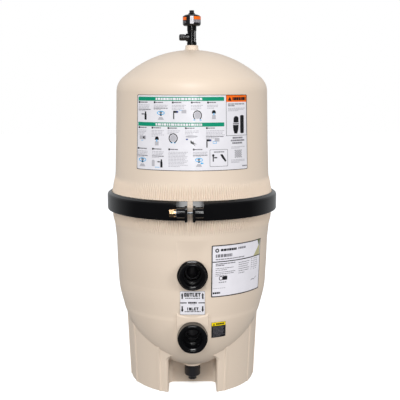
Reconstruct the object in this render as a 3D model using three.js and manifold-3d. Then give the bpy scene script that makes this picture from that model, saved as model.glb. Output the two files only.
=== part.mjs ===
// Swimming-pool filter housing: a two-part pressure tank held by a hinged band
// clamp, on a skirt base, with an air-relief valve on the crown, two pipe ports
// and a drain plug. Inside are eight curved filter grids under a top manifold.
//
// Millimetres, +Z up, front towards -Y. The origin is on the tank axis at the floor.

import * as THREE from "three";
import { mergeVertices } from "three/addons/utils/BufferGeometryUtils.js";
import Module from "manifold-3d";

const wasm = await Module();
wasm.setup();

// ---- Driving dimensions ------------------------------------------------------

const ROUND = 36; // facets round the tank, lid and base
const BAND_ROUND = 54; // facets round the clamp, which turns off the tank
const PIPE_ROUND = 20;
const ROD_ROUND = 10;
const GAP = 0.3; // between pieces that touch
const WALL = 6;

// Tank: a bowl that leans forward to its drain, then a slightly tapered wall
const BOWL_TOP_Z = 341;
const BOWL_LOW_Z = 77;
const BOWL_R = 240.5;
const BOWL_FORWARD = 118; // how far the bottom of the bowl sits ahead of the axis
const BOWL_ROUNDNESS = 1.9;
const BOWL_LEAN_POWER = 2.05;
const TANK_WALL = [[243.4, 393], [245.9, 480], [248.6, 487], [250.3, 513], [252.6, 533], [255.2, 570]];
const FLANGE_R = 266;
const FLANGE_SEAT_Z = 574.6; // underside of the tank flange at its rim
const JOINT_Z = 586; // where the tank and lid flanges meet
const RING_R = 252.2;
const RING_THICK = 3.8;

// Lid: a tapered wall, a knuckle and a shallow crown with a threaded neck
const LID_WALL = [
  [257.2, 603.8], [256.4, 613], [253.2, 632], [249.6, 673],
  [246.2, 678], [242.3, 807], [239.5, 925],
];
const LID_FLANGE_TOP_Z = 600;
const KNUCKLE = { r: 177.5, z: 931, radius: 62, sweepDeg: 47.1 };
const CROWN = { z: 740, radius: 322 };
const NECK_R = 20.1;
const NECK_TOP_Z = 1077;
const NECK_BORE_R = 12.5;

// Port pad on the front of the tank and the two pipe ports
const PAD_HALF_WIDTH = 47.5;
const PAD_Y = -237.2;
const PAD_TOP_Y = -241.9; // the flat follows the taper of the wall above the bowl
const PAD_TOP_Z = 490;
const PORTS = {
  outlet: { z: 390, innerY: -229, tailY: -203 },
  inlet: { z: 200, innerY: -222, tailY: -196 },
};
const PORT_FACE_Y = -264;
const PORT_R = 44;
const SOCKET_R = 30.2; // takes 60.3 mm pipe
const PORT_BORE_R = 24.5;
const TAIL_R = 34;
const INNER_NUT_R = 45;

// Drain
const DRAIN_Y = -126;
const COLLAR_Z = 73;
const COLLAR_R = 30;
const DRAIN_BORE_R = 12.6;

// Base skirt and its front alcove
const SKIRT_FOOT_R = 204.5;
const SKIRT_TAPER = 0.045;
const SKIRT_TOP_Z = 264;
const ALCOVE_HALF_WIDTH = 75;
const ALCOVE_TOP_Z = 119;
const ALCOVE_BACK_Y = -99;
const ALCOVE_FILLET = 17;
const SKIRT_PANEL_EDGES_DEG = [30.4, 62];
const SKIRT_RIB_DEG = 1.2; // half the angle that a rib stands on
const SKIRT_RIB_HEIGHT = 1.6;

// Band clamp
const BAND_R = 273;
const BAND_LOW_Z = 560;
const BAND_TOP_Z = 610;
const BAND_LIP_TOP_Z = 617.5;
const UPPER_JAW_R = 258.8;
const LOWER_JAW_R = 257;
const JAW_SPACE_R = 267.2;
const GAP_CENTRE_X = -6.8; // the bolted gap is turned a little off the front
const GAP_HALF = 8;
const EAR_THICK = 7.8;
const EAR_Z = [562, 610];
const LUG_R = 15;
const LUG_LENGTH = 23.5;
const BOLT_Y = -283;
const BOLT_Z = 586;
const BOLT_R = 4.5;
const CLAMP_REACH_Y = 298; // front of the lugs and back of the hinge knuckles
const BOLT_HEAD_R = 9.6;
const NUT_R = 12.6;
const NUT_LENGTH = 18.7;
const WASHER_X = [-48.1, -46.4];
const PIN_X = 18;
const KNUCKLE_R = 13;
const PIN_Y = CLAMP_REACH_Y - KNUCKLE_R;
const PIN_R = 4;
const WEB_START_DEG = 5.6; // the halves stop this far from the rear centre
const JAW_START_DEG = 9.2;

// Air-relief valve
const VALVE_BORE_R = 8;
const ARM_Z = 1101;
const KNOB_R = 27.7;
const KNOB_Z = [1137.6, 1168];
const PLUG_TOP_Z = 1184.5;

// Filter pack
const GRID_COUNT = 8;
const GRID_Z = [352, 868];
const GRID_THICK = 14;
const GRID_INNER_R = 46;
const GRID_REACH = 164;
const GRID_SWEEP = 0.5; // how far, in radians, the spiral of a grid turns
const NIPPLE_R = 9;
const NIPPLE_RING_R = 95;
const MANIFOLD_R = 125;
const MANIFOLD_Z = [870, 906];
const STANDPIPE_Y = -172;
const PIPE_R = 22;
const ROD_R = 5;
const BLEED_AT = [60, 40];
const BLEED_TOP_Z = 1010;

// ---- Materials ---------------------------------------------------------------

function finish(color, roughness, metalness = 0) {
  return new THREE.MeshStandardMaterial({ color, roughness, metalness });
}

const beigePlastic = finish(0xded0bc, 0.45);
const blackPlastic = finish(0x0c0c0e, 0.25);
const rubber = finish(0x1a1a1a, 0.8);
const whitePlastic = finish(0xe8e8e2, 0.5);
const gridCloth = finish(0xf2f0ea, 0.9);
const steel = finish(0xb8bcc0, 0.3, 1);
const brass = finish(0xc79a5a, 0.3, 1);
const labelFilm = finish(0xf0eff4, 0.4);

// ---- Shape helpers -----------------------------------------------------------

function signedVolume(points, corners) {
  const a = new THREE.Vector3();
  const b = new THREE.Vector3();
  const c = new THREE.Vector3();
  let sum = 0;
  for (let i = 0; i < corners.length; i += 3) {
    a.fromArray(points, 3 * corners[i]);
    b.fromArray(points, 3 * corners[i + 1]);
    c.fromArray(points, 3 * corners[i + 2]);
    sum += a.dot(b.cross(c));
  }
  return sum;
}

function toSolid(geometry) {
  geometry.deleteAttribute("normal");
  geometry.deleteAttribute("uv");
  const merged = mergeVertices(geometry, 1e-3);
  const index = merged.index.array;
  const corners = [];
  for (let i = 0; i < index.length; i += 3) {
    const [a, b, c] = [index[i], index[i + 1], index[i + 2]];
    if (a !== b && b !== c && c !== a) corners.push(a, b, c);
  }
  const vertProperties = new Float32Array(merged.attributes.position.array);
  if (signedVolume(vertProperties, corners) < 0) corners.reverse();
  const triVerts = new Uint32Array(corners);
  return new wasm.Manifold(new wasm.Mesh({ numProp: 3, vertProperties, triVerts }));
}

function toGeometry(solid) {
  const mesh = solid.getMesh();
  const geometry = new THREE.BufferGeometry();
  geometry.setAttribute("position", new THREE.BufferAttribute(new Float32Array(mesh.vertProperties), 3));
  geometry.setIndex(new THREE.BufferAttribute(new Uint32Array(mesh.triVerts), 1));
  geometry.computeVertexNormals();
  return geometry;
}

function join(...solids) {
  return solids.reduce((whole, solid) => whole.add(solid));
}

function cut(solid, ...tools) {
  return tools.reduce((rest, tool) => rest.subtract(tool), solid);
}

// A profile is a list of [radius, height] that ends on the axis or closes on itself.
function turnedGeometry(profile, sides) {
  const points = profile.map(([r, z]) => new THREE.Vector2(r, z));
  return new THREE.LatheGeometry(points, sides).rotateX(Math.PI / 2);
}

function closed(profile) {
  return [...profile, profile[0]];
}

function turned(profile, sides = ROUND) {
  return toSolid(turnedGeometry(profile, sides));
}

function ring(innerR, outerR, z0, z1, sides = ROUND) {
  return turned(closed([[innerR, z0], [outerR, z0], [outerR, z1], [innerR, z1]]), sides);
}

function disc(r, z0, z1, sides = ROUND) {
  return turned([[0, z0], [r, z0], [r, z1], [0, z1]], sides);
}

function block(x0, x1, y0, y1, z0, z1) {
  const box = new THREE.BoxGeometry(x1 - x0, y1 - y0, z1 - z0);
  box.translate((x0 + x1) / 2, (y0 + y1) / 2, (z0 + z1) / 2);
  return toSolid(box);
}

function outlineShape(points) {
  return new THREE.Shape(points.map(([a, b]) => new THREE.Vector2(a, b)));
}

// An outline in plan view, raised from z0 to z1.
function prismUp(points, z0, z1) {
  const geometry = new THREE.ExtrudeGeometry(outlineShape(points), { depth: z1 - z0, bevelEnabled: false });
  return toSolid(geometry.translate(0, 0, z0));
}

// An outline of [y, z] points, carried along X.
function prismAcross(points, x0, x1) {
  const geometry = new THREE.ExtrudeGeometry(outlineShape(points), { depth: x1 - x0, bevelEnabled: false });
  geometry.rotateX(Math.PI / 2);
  geometry.rotateZ(Math.PI / 2);
  return toSolid(geometry.translate(x0, 0, 0));
}

// An outline of [x, z] points, carried along Y.
function prismBack(points, y0, y1) {
  const geometry = new THREE.ExtrudeGeometry(outlineShape(points), { depth: y1 - y0, bevelEnabled: false });
  return toSolid(geometry.rotateX(Math.PI / 2).translate(0, y1, 0));
}

// Points of an arc about (a, b), from one angle to another in degrees.
function arc(a, b, radius, fromDeg, toDeg, steps) {
  const points = [];
  for (let i = 0; i <= steps; i++) {
    const angle = THREE.MathUtils.degToRad(fromDeg + ((toDeg - fromDeg) * i) / steps);
    points.push([a + radius * Math.cos(angle), b + radius * Math.sin(angle)]);
  }
  return points;
}

// Turns a solid of revolution about Z so that its axis lies along X or along Y.
function alongX(profile, sides, y, z) {
  const geometry = turnedGeometry(profile, sides).rotateY(Math.PI / 2);
  return toSolid(geometry.translate(0, y, z));
}

function alongY(profile, sides, x, z) {
  const geometry = turnedGeometry(profile, sides).rotateX(-Math.PI / 2);
  return toSolid(geometry.translate(x, 0, z));
}

function barAlongX(radius, x0, x1, y, z, sides = PIPE_ROUND) {
  return alongX([[0, x0], [radius, x0], [radius, x1], [0, x1]], sides, y, z);
}

function barAlongY(radius, y0, y1, x, z, sides = PIPE_ROUND) {
  return alongY([[0, y0], [radius, y0], [radius, y1], [0, y1]], sides, x, z);
}

function post(radius, x, y, z0, z1, sides = PIPE_ROUND) {
  return disc(radius, z0, z1, sides).translate([x, y, 0]);
}

// The wedge of space between two angles from the front, positive towards +X.
function wedge(fromDeg, toDeg, z0, z1) {
  const reach = 420;
  const points = arc(0, 0, reach, fromDeg - 90, toDeg - 90, 8);
  return prismUp([[0, 0], ...points], z0, z1);
}

// ---- Tank --------------------------------------------------------------------

function bowlDepthShare(z) {
  return THREE.MathUtils.clamp((BOWL_TOP_Z - z) / (BOWL_TOP_Z - BOWL_LOW_Z), 0, 1);
}

function bowlCurve(outset, steps = 7) {
  const points = [];
  for (let i = steps; i >= 0; i--) {
    const share = Math.sin((i / steps) * (Math.PI / 2));
    const z = BOWL_TOP_Z - share * (BOWL_TOP_Z - BOWL_LOW_Z + outset);
    points.push([(BOWL_R + outset) * Math.sqrt(1 - share ** BOWL_ROUNDNESS), z]);
  }
  return points;
}

// Slides each level of the bowl forward, more towards the bottom.
function leanForward(geometry) {
  const position = geometry.attributes.position;
  for (let i = 0; i < position.count; i++) {
    const share = bowlDepthShare(position.getZ(i));
    position.setY(i, position.getY(i) - BOWL_FORWARD * share ** BOWL_LEAN_POWER);
  }
  return geometry;
}

function leaning(profile) {
  return toSolid(leanForward(turnedGeometry(profile, ROUND)));
}

function tankOutside() {
  const flangeTop = JOINT_Z - GAP;
  const flange = [[FLANGE_R, FLANGE_SEAT_Z], [FLANGE_R, flangeTop], [0, flangeTop]];
  return leaning([...bowlCurve(0), ...TANK_WALL, ...flange]);
}

function tankInside() {
  const wall = TANK_WALL.slice(0, 2).map(([r, z]) => [r - WALL, z]);
  const mouth = [[243, 520], [243, JOINT_Z], [0, JOINT_Z]];
  return leaning([...bowlCurve(-WALL, 5), ...wall, ...mouth]);
}

// The pad stands out from the bowl and ends in a half round under the inlet.
function portPad() {
  const innerY = -200;
  const inletZ = PORTS.inlet.z;
  const plate = block(-PAD_HALF_WIDTH, PAD_HALF_WIDTH, PAD_Y, innerY, inletZ, BOWL_TOP_Z);
  return plate.add(barAlongY(PAD_HALF_WIDTH, PAD_Y, innerY, 0, inletZ));
}

// Everything ahead of the port flat, which runs out into the ribbed band above.
function aheadOfPad() {
  const clearY = -300;
  const runOutY = -262;
  const runOutZ = 512;
  const outline = [
    [PAD_Y, 120], [PAD_Y, BOWL_TOP_Z], [PAD_TOP_Y, PAD_TOP_Z],
    [runOutY, runOutZ], [clearY, runOutZ], [clearY, 120],
  ];
  return prismAcross(outline, -PAD_HALF_WIDTH, PAD_HALF_WIDTH);
}

function tankBody() {
  const outside = tankOutside();
  let shell = outside.add(portPad()).subtract(aheadOfPad());
  shell = shell.add(post(COLLAR_R, 0, DRAIN_Y, COLLAR_Z, BOWL_LOW_Z + 20));
  let inside = tankInside();
  for (const port of Object.values(PORTS)) {
    inside = inside.subtract(block(-48, 48, PAD_Y - 30, port.innerY, port.z - 48, port.z + 48));
  }
  const rodBoss = post(15, 0, 0, 90, 160, ROD_ROUND).intersect(outside);
  shell = shell.subtract(inside).add(rodBoss);
  const cuts = [
    post(DRAIN_BORE_R, 0, DRAIN_Y, COLLAR_Z - 1, BOWL_LOW_Z + 40),
    post(ROD_R + 0.4, 0, 0, 132, 161, ROD_ROUND),
    ring(RING_R - 4.3, RING_R + 4.3, JOINT_Z - 8.4, JOINT_Z),
  ];
  for (const port of Object.values(PORTS)) {
    cuts.push(barAlongY(46, PAD_Y - 20, PAD_Y, 0, port.z));
    cuts.push(barAlongY(TAIL_R + 0.5, PAD_Y - 5, -180, 0, port.z));
    cuts.push(barAlongY(INNER_NUT_R + 1, port.innerY, port.innerY + 18, 0, port.z));
  }
  return cut(shell, ...cuts);
}

function tankRing() {
  const centreZ = JOINT_Z - GAP - RING_THICK;
  return turned(arc(RING_R, centreZ, RING_THICK, 0, 360, 6));
}

// ---- Lid ---------------------------------------------------------------------

function crownPoint(radius, sideways) {
  return [sideways, CROWN.z + Math.sqrt(radius ** 2 - sideways ** 2)];
}

function crownCurve(inset, innerR, steps) {
  const radius = CROWN.radius - inset;
  const [outerR] = arc(KNUCKLE.r, KNUCKLE.z, KNUCKLE.radius - inset, KNUCKLE.sweepDeg, 0, 1)[0];
  const points = [];
  for (let i = 1; i <= steps; i++) {
    points.push(crownPoint(radius, outerR + ((innerR - outerR) * i) / steps));
  }
  return points;
}

function knuckleCurve(inset, steps) {
  return arc(KNUCKLE.r, KNUCKLE.z, KNUCKLE.radius - inset, 0, KNUCKLE.sweepDeg, steps);
}

function lid() {
  const flangeInnerR = 243.5;
  const outside = [
    [flangeInnerR, JOINT_Z], [FLANGE_R, JOINT_Z], [FLANGE_R, LID_FLANGE_TOP_Z],
    ...LID_WALL, ...knuckleCurve(0, 3), ...crownCurve(0, 26, 4),
  ];
  const neck = [
    [NECK_R + 0.6, 1064], [NECK_R, NECK_TOP_Z - 2], [NECK_R - 1.8, NECK_TOP_Z],
    [NECK_BORE_R, NECK_TOP_Z],
  ];
  const inside = [
    ...crownCurve(WALL, NECK_BORE_R, 3).reverse(), ...knuckleCurve(WALL, 2).reverse(),
    [246.2 - WALL, 678], [flangeInnerR, 640],
  ];
  return turned(closed([...outside, ...neck, ...inside]));
}

// ---- Base --------------------------------------------------------------------

function skirtRadius(z) {
  return SKIRT_FOOT_R + SKIRT_TAPER * z;
}

function skirtTube(outset) {
  const foot = skirtRadius(0) + outset;
  const top = skirtRadius(SKIRT_TOP_Z) + outset;
  return turned([[0, 0], [foot, 0], [top, SKIRT_TOP_Z], [0, SKIRT_TOP_Z]]);
}

function skirtRibs() {
  const proud = skirtTube(SKIRT_RIB_HEIGHT);
  const ribs = [];
  for (const edge of SKIRT_PANEL_EDGES_DEG) {
    for (const centre of [-edge, edge]) {
      const slice = wedge(centre - SKIRT_RIB_DEG, centre + SKIRT_RIB_DEG, 0, SKIRT_TOP_Z);
      ribs.push(proud.intersect(slice));
    }
  }
  return join(...ribs);
}

function alcoveSpace() {
  const half = ALCOVE_HALF_WIDTH;
  const fillet = ALCOVE_FILLET;
  const side = half - fillet;
  const backY = ALCOVE_BACK_Y - fillet;
  const topZ = ALCOVE_TOP_Z - fillet;
  const plan = [
    [-half, -240], [half, -240], ...arc(side, backY, fillet, 0, 90, 3),
    ...arc(-side, backY, fillet, 90, 180, 3),
  ];
  const front = [
    [-half, -1], [half, -1], ...arc(side, topZ, fillet, 0, 90, 4),
    ...arc(-side, topZ, fillet, 90, 180, 4),
  ];
  return prismUp(plan, -1, ALCOVE_TOP_Z + 1).intersect(prismBack(front, -240, -80));
}

function baseSkirt() {
  const half = ALCOVE_HALF_WIDTH + WALL;
  const outside = skirtTube(0);
  const liner = block(-half, half, -230, ALCOVE_BACK_Y + WALL, 0, ALCOVE_TOP_Z + 30).intersect(outside);
  const shell = outside.add(skirtRibs()).subtract(skirtTube(-WALL).translate([0, 0, -1]));
  const upper = ring(skirtRadius(SKIRT_TOP_Z) - WALL - 4, 230, SKIRT_TOP_Z - 1.2, SKIRT_TOP_Z + 2);
  const bowl = leaning([...bowlCurve(0.5), [BOWL_R + 0.5, 400], [0, 400]]);
  const collar = post(COLLAR_R + 1, 0, DRAIN_Y, COLLAR_Z - 4, ALCOVE_TOP_Z);
  return cut(shell.add(liner), upper, alcoveSpace(), bowl, collar);
}

// ---- Ports -------------------------------------------------------------------

function bulkhead(port) {
  const seatY = PAD_Y - 3.6;
  const socketY = PORT_FACE_Y + 38;
  const profile = closed([
    [TAIL_R, port.tailY], [TAIL_R, seatY], [PORT_R, seatY], [PORT_R, seatY - 9],
    [PORT_R - 2.5, seatY - 12], [PORT_R - 2.5, PORT_FACE_Y + 5], [PORT_R - 6, PORT_FACE_Y],
    [SOCKET_R + 1.6, PORT_FACE_Y], [SOCKET_R, PORT_FACE_Y + 2], [SOCKET_R, socketY],
    [PORT_BORE_R, socketY], [PORT_BORE_R, port.tailY],
  ]);
  return alongY(profile, PIPE_ROUND, 0, port.z);
}

function bulkheadGasket(port) {
  const near = PAD_Y - GAP;
  const far = PAD_Y - 3.3;
  const profile = closed([[TAIL_R + 0.6, near], [PORT_R - 0.8, near], [PORT_R - 0.8, far], [TAIL_R + 0.6, far]]);
  return alongY(profile, PIPE_ROUND, 0, port.z);
}

function bulkheadNut(port) {
  const near = port.innerY + GAP;
  const far = port.innerY + 14;
  const bore = TAIL_R + GAP;
  return alongY(closed([[bore, near], [INNER_NUT_R, near], [INNER_NUT_R, far], [bore, far]]), 8, 0, port.z)
    .subtract(barAlongY(bore, near - 1, far + 1, 0, port.z));
}

// ---- Drain -------------------------------------------------------------------

function drainRing() {
  return ring(DRAIN_BORE_R + 0.6, 22, COLLAR_Z - 2.3, COLLAR_Z - GAP, PIPE_ROUND);
}

function drainPlug() {
  const headTop = COLLAR_Z - 2.6;
  const profile = [
    [0, 31], [12.5, 31], [23.2, 38.5], [23.2, headTop], [DRAIN_BORE_R - 0.5, headTop],
    [DRAIN_BORE_R - 0.5, COLLAR_Z + 16], [0, COLLAR_Z + 16],
  ];
  const hexKey = disc(11.5, 22.5, 33, 6);
  return turned(profile, PIPE_ROUND).add(hexKey);
}

// ---- Band clamp --------------------------------------------------------------

// The whole ring: a web outside the flanges with a jaw above and a jaw below.
function bandRing() {
  const section = [
    [LOWER_JAW_R, BAND_LOW_Z], [BAND_R, BAND_LOW_Z], [BAND_R, BAND_TOP_Z],
    [UPPER_JAW_R + 1, BAND_LIP_TOP_Z], [UPPER_JAW_R, BAND_LIP_TOP_Z - 1], [UPPER_JAW_R, 604.6],
    [JAW_SPACE_R, 601], [JAW_SPACE_R, 573.6], [LOWER_JAW_R, 569.4],
  ];
  return turned(closed(section), BAND_ROUND);
}

function clampSpace() {
  return disc(JAW_SPACE_R, 540, 640, BAND_ROUND);
}

function rearPlanX(angleDeg, radius) {
  return radius * Math.sin(THREE.MathUtils.degToRad(angleDeg));
}

// One lug: an end plate and a sleeve that the bolt runs through.
// side is -1 for the half on -X and +1 for the half on +X.
function lug(side) {
  const gapX = GAP_CENTRE_X + side * GAP_HALF;
  const plateX = gapX + side * EAR_THICK;
  const sleeveX = gapX + side * (EAR_THICK + LUG_LENGTH);
  const plate = block(Math.min(gapX, plateX), Math.max(gapX, plateX), -CLAMP_REACH_Y, -262, ...EAR_Z);
  const sleeve = barAlongX(LUG_R, Math.min(gapX, sleeveX), Math.max(gapX, sleeveX), BOLT_Y, BOLT_Z);
  return plate.add(sleeve).subtract(clampSpace());
}

function halfPlane(side, startX, y0, y1, z0, z1) {
  const far = side * 400;
  return block(Math.min(startX, far), Math.max(startX, far), y0, y1, z0, z1);
}

function hingeArm(side, z0, z1) {
  const knuckle = post(KNUCKLE_R, side * PIN_X, PIN_Y, z0, z1);
  const arm = [[PIN_X, PIN_Y - 11], [44, 266.5], [46, 269], [PIN_X + 4, PIN_Y + 12.3]];
  const outline = arm.map(([x, y]) => [side * x, y]);
  if (side < 0) outline.reverse();
  return knuckle.add(prismUp(outline, z0, z1));
}

function clampHalf(side) {
  const gapX = GAP_CENTRE_X + side * GAP_HALF;
  const webX = side * rearPlanX(WEB_START_DEG, BAND_R);
  const jawX = side * rearPlanX(JAW_START_DEG, BAND_R);
  const everyLevel = [500, 700];
  const front = halfPlane(side, gapX, -400, 0, ...everyLevel);
  const rear = halfPlane(side, webX, 0, 400, ...everyLevel);
  const jawless = block(Math.min(webX, jawX), Math.max(webX, jawX), 0, 400, ...everyLevel);
  const band = bandRing().intersect(front.add(rear));
  const open = cut(band, jawless.intersect(clampSpace()));
  const arms = hingeArm(side, 597, 608).add(hingeArm(side, 562, 573));
  const pinHole = post(PIN_R + 0.25, side * PIN_X, PIN_Y, 550, 620, ROD_ROUND);
  return cut(join(open, arms.subtract(clampSpace()), lug(side)), pinHole);
}

function clampLeftHalf() {
  return clampHalf(-1).subtract(barAlongX(8.2, -80, 0, BOLT_Y, BOLT_Z, PIPE_ROUND));
}

function clampRightHalf() {
  const bore = barAlongX(BOLT_R + 0.5, -10, 20, BOLT_Y, BOLT_Z, ROD_ROUND);
  const pocket = barAlongX(10.4, 17, 40, BOLT_Y, BOLT_Z);
  return cut(clampHalf(1), bore, pocket);
}

function clampRearLink() {
  const outline = [
    ...arc(PIN_X, PIN_Y, 10, -90, 90, 6),
    ...arc(-PIN_X, PIN_Y, 10, 90, 270, 6),
  ];
  const plate = prismUp(outline, 573.6, 596.4);
  const holes = [-PIN_X, PIN_X].map((x) => post(PIN_R + GAP, x, PIN_Y, 560, 610, ROD_ROUND));
  return cut(plate, ...holes);
}

function hingePin(side) {
  return post(PIN_R, side * PIN_X, PIN_Y, 562, 608.4, ROD_ROUND)
    .add(post(PIN_R + 2, side * PIN_X, PIN_Y, 608.4, 611, ROD_ROUND));
}

function tBolt() {
  const rod = barAlongX(BOLT_R, -58, 18, BOLT_Y, BOLT_Z, ROD_ROUND);
  return rod.add(barAlongX(BOLT_HEAD_R, 17.3, 26, BOLT_Y, BOLT_Z, 6));
}

function clampWasher() {
  const outside = barAlongX(11.2, ...WASHER_X, BOLT_Y, BOLT_Z);
  return outside.subtract(barAlongX(6, -60, -40, BOLT_Y, BOLT_Z));
}

function clampNut() {
  const seatX = WASHER_X[0] - GAP;
  const outside = barAlongX(NUT_R, seatX - NUT_LENGTH, seatX, BOLT_Y, BOLT_Z, 6);
  return outside.subtract(barAlongX(6, -80, -40, BOLT_Y, BOLT_Z, ROD_ROUND));
}

// ---- Air-relief valve --------------------------------------------------------

function valveBody() {
  const seatZ = NECK_TOP_Z + 2.6;
  const profile = closed([
    [VALVE_BORE_R, 1052], [NECK_BORE_R - 0.4, 1052], [NECK_BORE_R - 0.4, seatZ], [15.4, seatZ],
    [15.4, 1084], [13.8, 1089], [13.8, 1121], [14.9, 1123], [14.9, 1136], [VALVE_BORE_R, 1136],
  ]);
  const boss = barAlongX(12, -19.4, -8.5, 0, ARM_Z);
  const arm = barAlongX(8.4, -29, -8.5, 0, ARM_Z);
  const gusset = prismBack([[-26, ARM_Z - 6], [-12, ARM_Z - 6], [-12, 1086]], -3, 3);
  const body = turned(profile, PIPE_ROUND).add(boss.add(arm).add(gusset));
  return cut(body, disc(VALVE_BORE_R, 1085, 1120, PIPE_ROUND), barAlongX(4.8, -40, -2, 0, ARM_Z, ROD_ROUND));
}

function valveRing() {
  return ring(NECK_BORE_R + 0.2, 15, NECK_TOP_Z + GAP, NECK_TOP_Z + 2.3, PIPE_ROUND);
}

// Closed, the side hole faces the back; a quarter turn brings it to the vent arm.
function valveStem() {
  const stemR = VALVE_BORE_R - GAP;
  const stemTop = KNOB_Z[0] - GAP;
  return turned([[0, 1090], [stemR, 1092], [stemR, stemTop], [0, stemTop]], PIPE_ROUND)
    .subtract(barAlongY(4, 0, 20, 0, ARM_Z, ROD_ROUND))
    .subtract(disc(4, 1080, ARM_Z, ROD_ROUND));
}

function valveKnob() {
  const [low, high] = KNOB_Z;
  const profile = [
    [0, low], [KNOB_R - 4, low], [KNOB_R - 1.2, low + 1.5], [KNOB_R, low + 5],
    [KNOB_R, high - 3], [KNOB_R - 1.5, high], [KNOB_R - 7, high + 2.6], [11, high + 5],
    [8, high + 8], [0, high + 8],
  ];
  return turned(profile, PIPE_ROUND).subtract(disc(5.4, high - 4, high + 10, ROD_ROUND));
}

function gaugePortPlug() {
  const baseZ = KNOB_Z[1] + 8.3;
  return disc(5, KNOB_Z[1] - 3.6, baseZ + 1, ROD_ROUND).add(disc(6.9, baseZ, PLUG_TOP_Z, 8));
}

function ventGasket() {
  const faceX = -29.3;
  return alongX(closed([[5, faceX - 1.4], [8, faceX - 1.4], [8, faceX], [5, faceX]]), PIPE_ROUND, 0, ARM_Z);
}

function ventCap() {
  const faceX = -31;
  const profile = [
    [0, -40], [6.5, -40], [8.6, -38.5], [9, faceX - 3], [9, faceX], [4.5, faceX],
    [4.5, -22], [0, -22],
  ];
  return alongX(profile, PIPE_ROUND, 0, ARM_Z);
}

// ---- Filter pack -------------------------------------------------------------

// A grid follows a shallow spiral: how far round, in radians, it is at a radius.
function spiralAngle(radius) {
  return -GRID_SWEEP * (1 - (radius - GRID_INNER_R) / GRID_REACH) ** 2;
}

// Plan points of one grid, from near the rod out to the wall.
function gridSpine(steps) {
  const points = [];
  for (let i = 0; i <= steps; i++) {
    const radius = GRID_INNER_R + (GRID_REACH * i) / steps;
    const angle = spiralAngle(radius);
    points.push([radius * Math.cos(angle), radius * Math.sin(angle)]);
  }
  return points;
}

function offsetSide(points, distance) {
  return points.map(([x, y], i) => {
    const [ax, ay] = points[Math.max(i - 1, 0)];
    const [bx, by] = points[Math.min(i + 1, points.length - 1)];
    const length = Math.hypot(bx - ax, by - ay);
    return [x - (distance * (by - ay)) / length, y + (distance * (bx - ax)) / length];
  });
}

function filterGrid() {
  const spine = gridSpine(5);
  const near = offsetSide(spine, GRID_THICK / 2).reverse();
  const outline = [...offsetSide(spine, -GRID_THICK / 2), ...near];
  const panel = prismUp(outline, ...GRID_Z);
  const nippleX = NIPPLE_RING_R * Math.cos(spiralAngle(NIPPLE_RING_R));
  const nippleY = NIPPLE_RING_R * Math.sin(spiralAngle(NIPPLE_RING_R));
  const nipple = post(NIPPLE_R, nippleX, nippleY, GRID_Z[1] - 5, MANIFOLD_Z[0] + 8, ROD_ROUND);
  return panel.add(nipple);
}

function gridTurn(index) {
  return -90 + (index + 0.5) * (360 / GRID_COUNT);
}

function manifold() {
  const [low, high] = MANIFOLD_Z;
  const skin = 4;
  const arm = [[-34, 0], [-34, STANDPIPE_Y], [34, STANDPIPE_Y], [34, 0]].map(([x, y]) => [x, y - 20]);
  const armInside = arm.map(([x, y]) => [x - Math.sign(x) * skin, y + (y < -20 ? skin : 0)]);
  const outside = disc(MANIFOLD_R, low, high, PIPE_ROUND).add(prismUp(arm.reverse(), low, high));
  const space = disc(MANIFOLD_R - skin, low + skin, high - skin, PIPE_ROUND)
    .add(prismUp(armInside.reverse(), low + skin, high - skin));
  const hub = post(14, 0, 0, low, high, ROD_ROUND);
  const holes = [post(6, 0, 0, low - 1, high + 1, ROD_ROUND)];
  holes.push(post(PIPE_R + 0.5, 0, STANDPIPE_Y, low - 1, low + skin + 1));
  const nippleAngle = THREE.MathUtils.radToDeg(spiralAngle(NIPPLE_RING_R));
  for (let i = 0; i < GRID_COUNT; i++) {
    const hole = post(NIPPLE_R + 1.2, NIPPLE_RING_R, 0, low - 1, low + skin + 1, ROD_ROUND);
    holes.push(hole.rotate([0, 0, gridTurn(i) + nippleAngle]));
  }
  holes.push(post(4.4, 60, 40, high - skin - 1, high + 1, ROD_ROUND));
  return cut(outside.subtract(space).add(hub), ...holes);
}

function gridSpacer() {
  const z0 = GRID_Z[0] - 8.6;
  const z1 = GRID_Z[0] - GAP;
  let spider = ring(188, 200, z0, z1, PIPE_ROUND).add(ring(8, 24, z0, z1, PIPE_ROUND));
  for (let i = 0; i < GRID_COUNT; i += 2) {
    spider = spider.add(block(20, 192, -5, 5, z0, z1).rotate([0, 0, gridTurn(i)]));
  }
  return spider;
}

function holdDownRod() {
  return post(ROD_R, 0, 0, 134, 932, ROD_ROUND);
}

function rodWasher() {
  return ring(ROD_R + 0.5, 16, MANIFOLD_Z[1] + GAP, MANIFOLD_Z[1] + 3, PIPE_ROUND);
}

function rodNut() {
  const base = MANIFOLD_Z[1] + 3.3;
  return disc(9.5, base, base + 12, 6)
    .add(block(-26, 26, -2.5, 2.5, base + 3, base + 20))
    .subtract(disc(ROD_R + 0.4, base - 1, base + 30, ROD_ROUND));
}

// An elbow at the outlet port with a straight pipe up to the manifold.
function outletStandpipe() {
  const { z, tailY } = PORTS.outlet;
  const boreR = PIPE_R - 3;
  const outside = post(PIPE_R, 0, STANDPIPE_Y, z - PIPE_R, MANIFOLD_Z[0] + 3)
    .add(barAlongY(PIPE_R, tailY + GAP, STANDPIPE_Y, 0, z));
  const inside = post(boreR, 0, STANDPIPE_Y, z - boreR, MANIFOLD_Z[0] + 4)
    .add(barAlongY(boreR, tailY - 1, STANDPIPE_Y, 0, z));
  return outside.subtract(inside);
}

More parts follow.
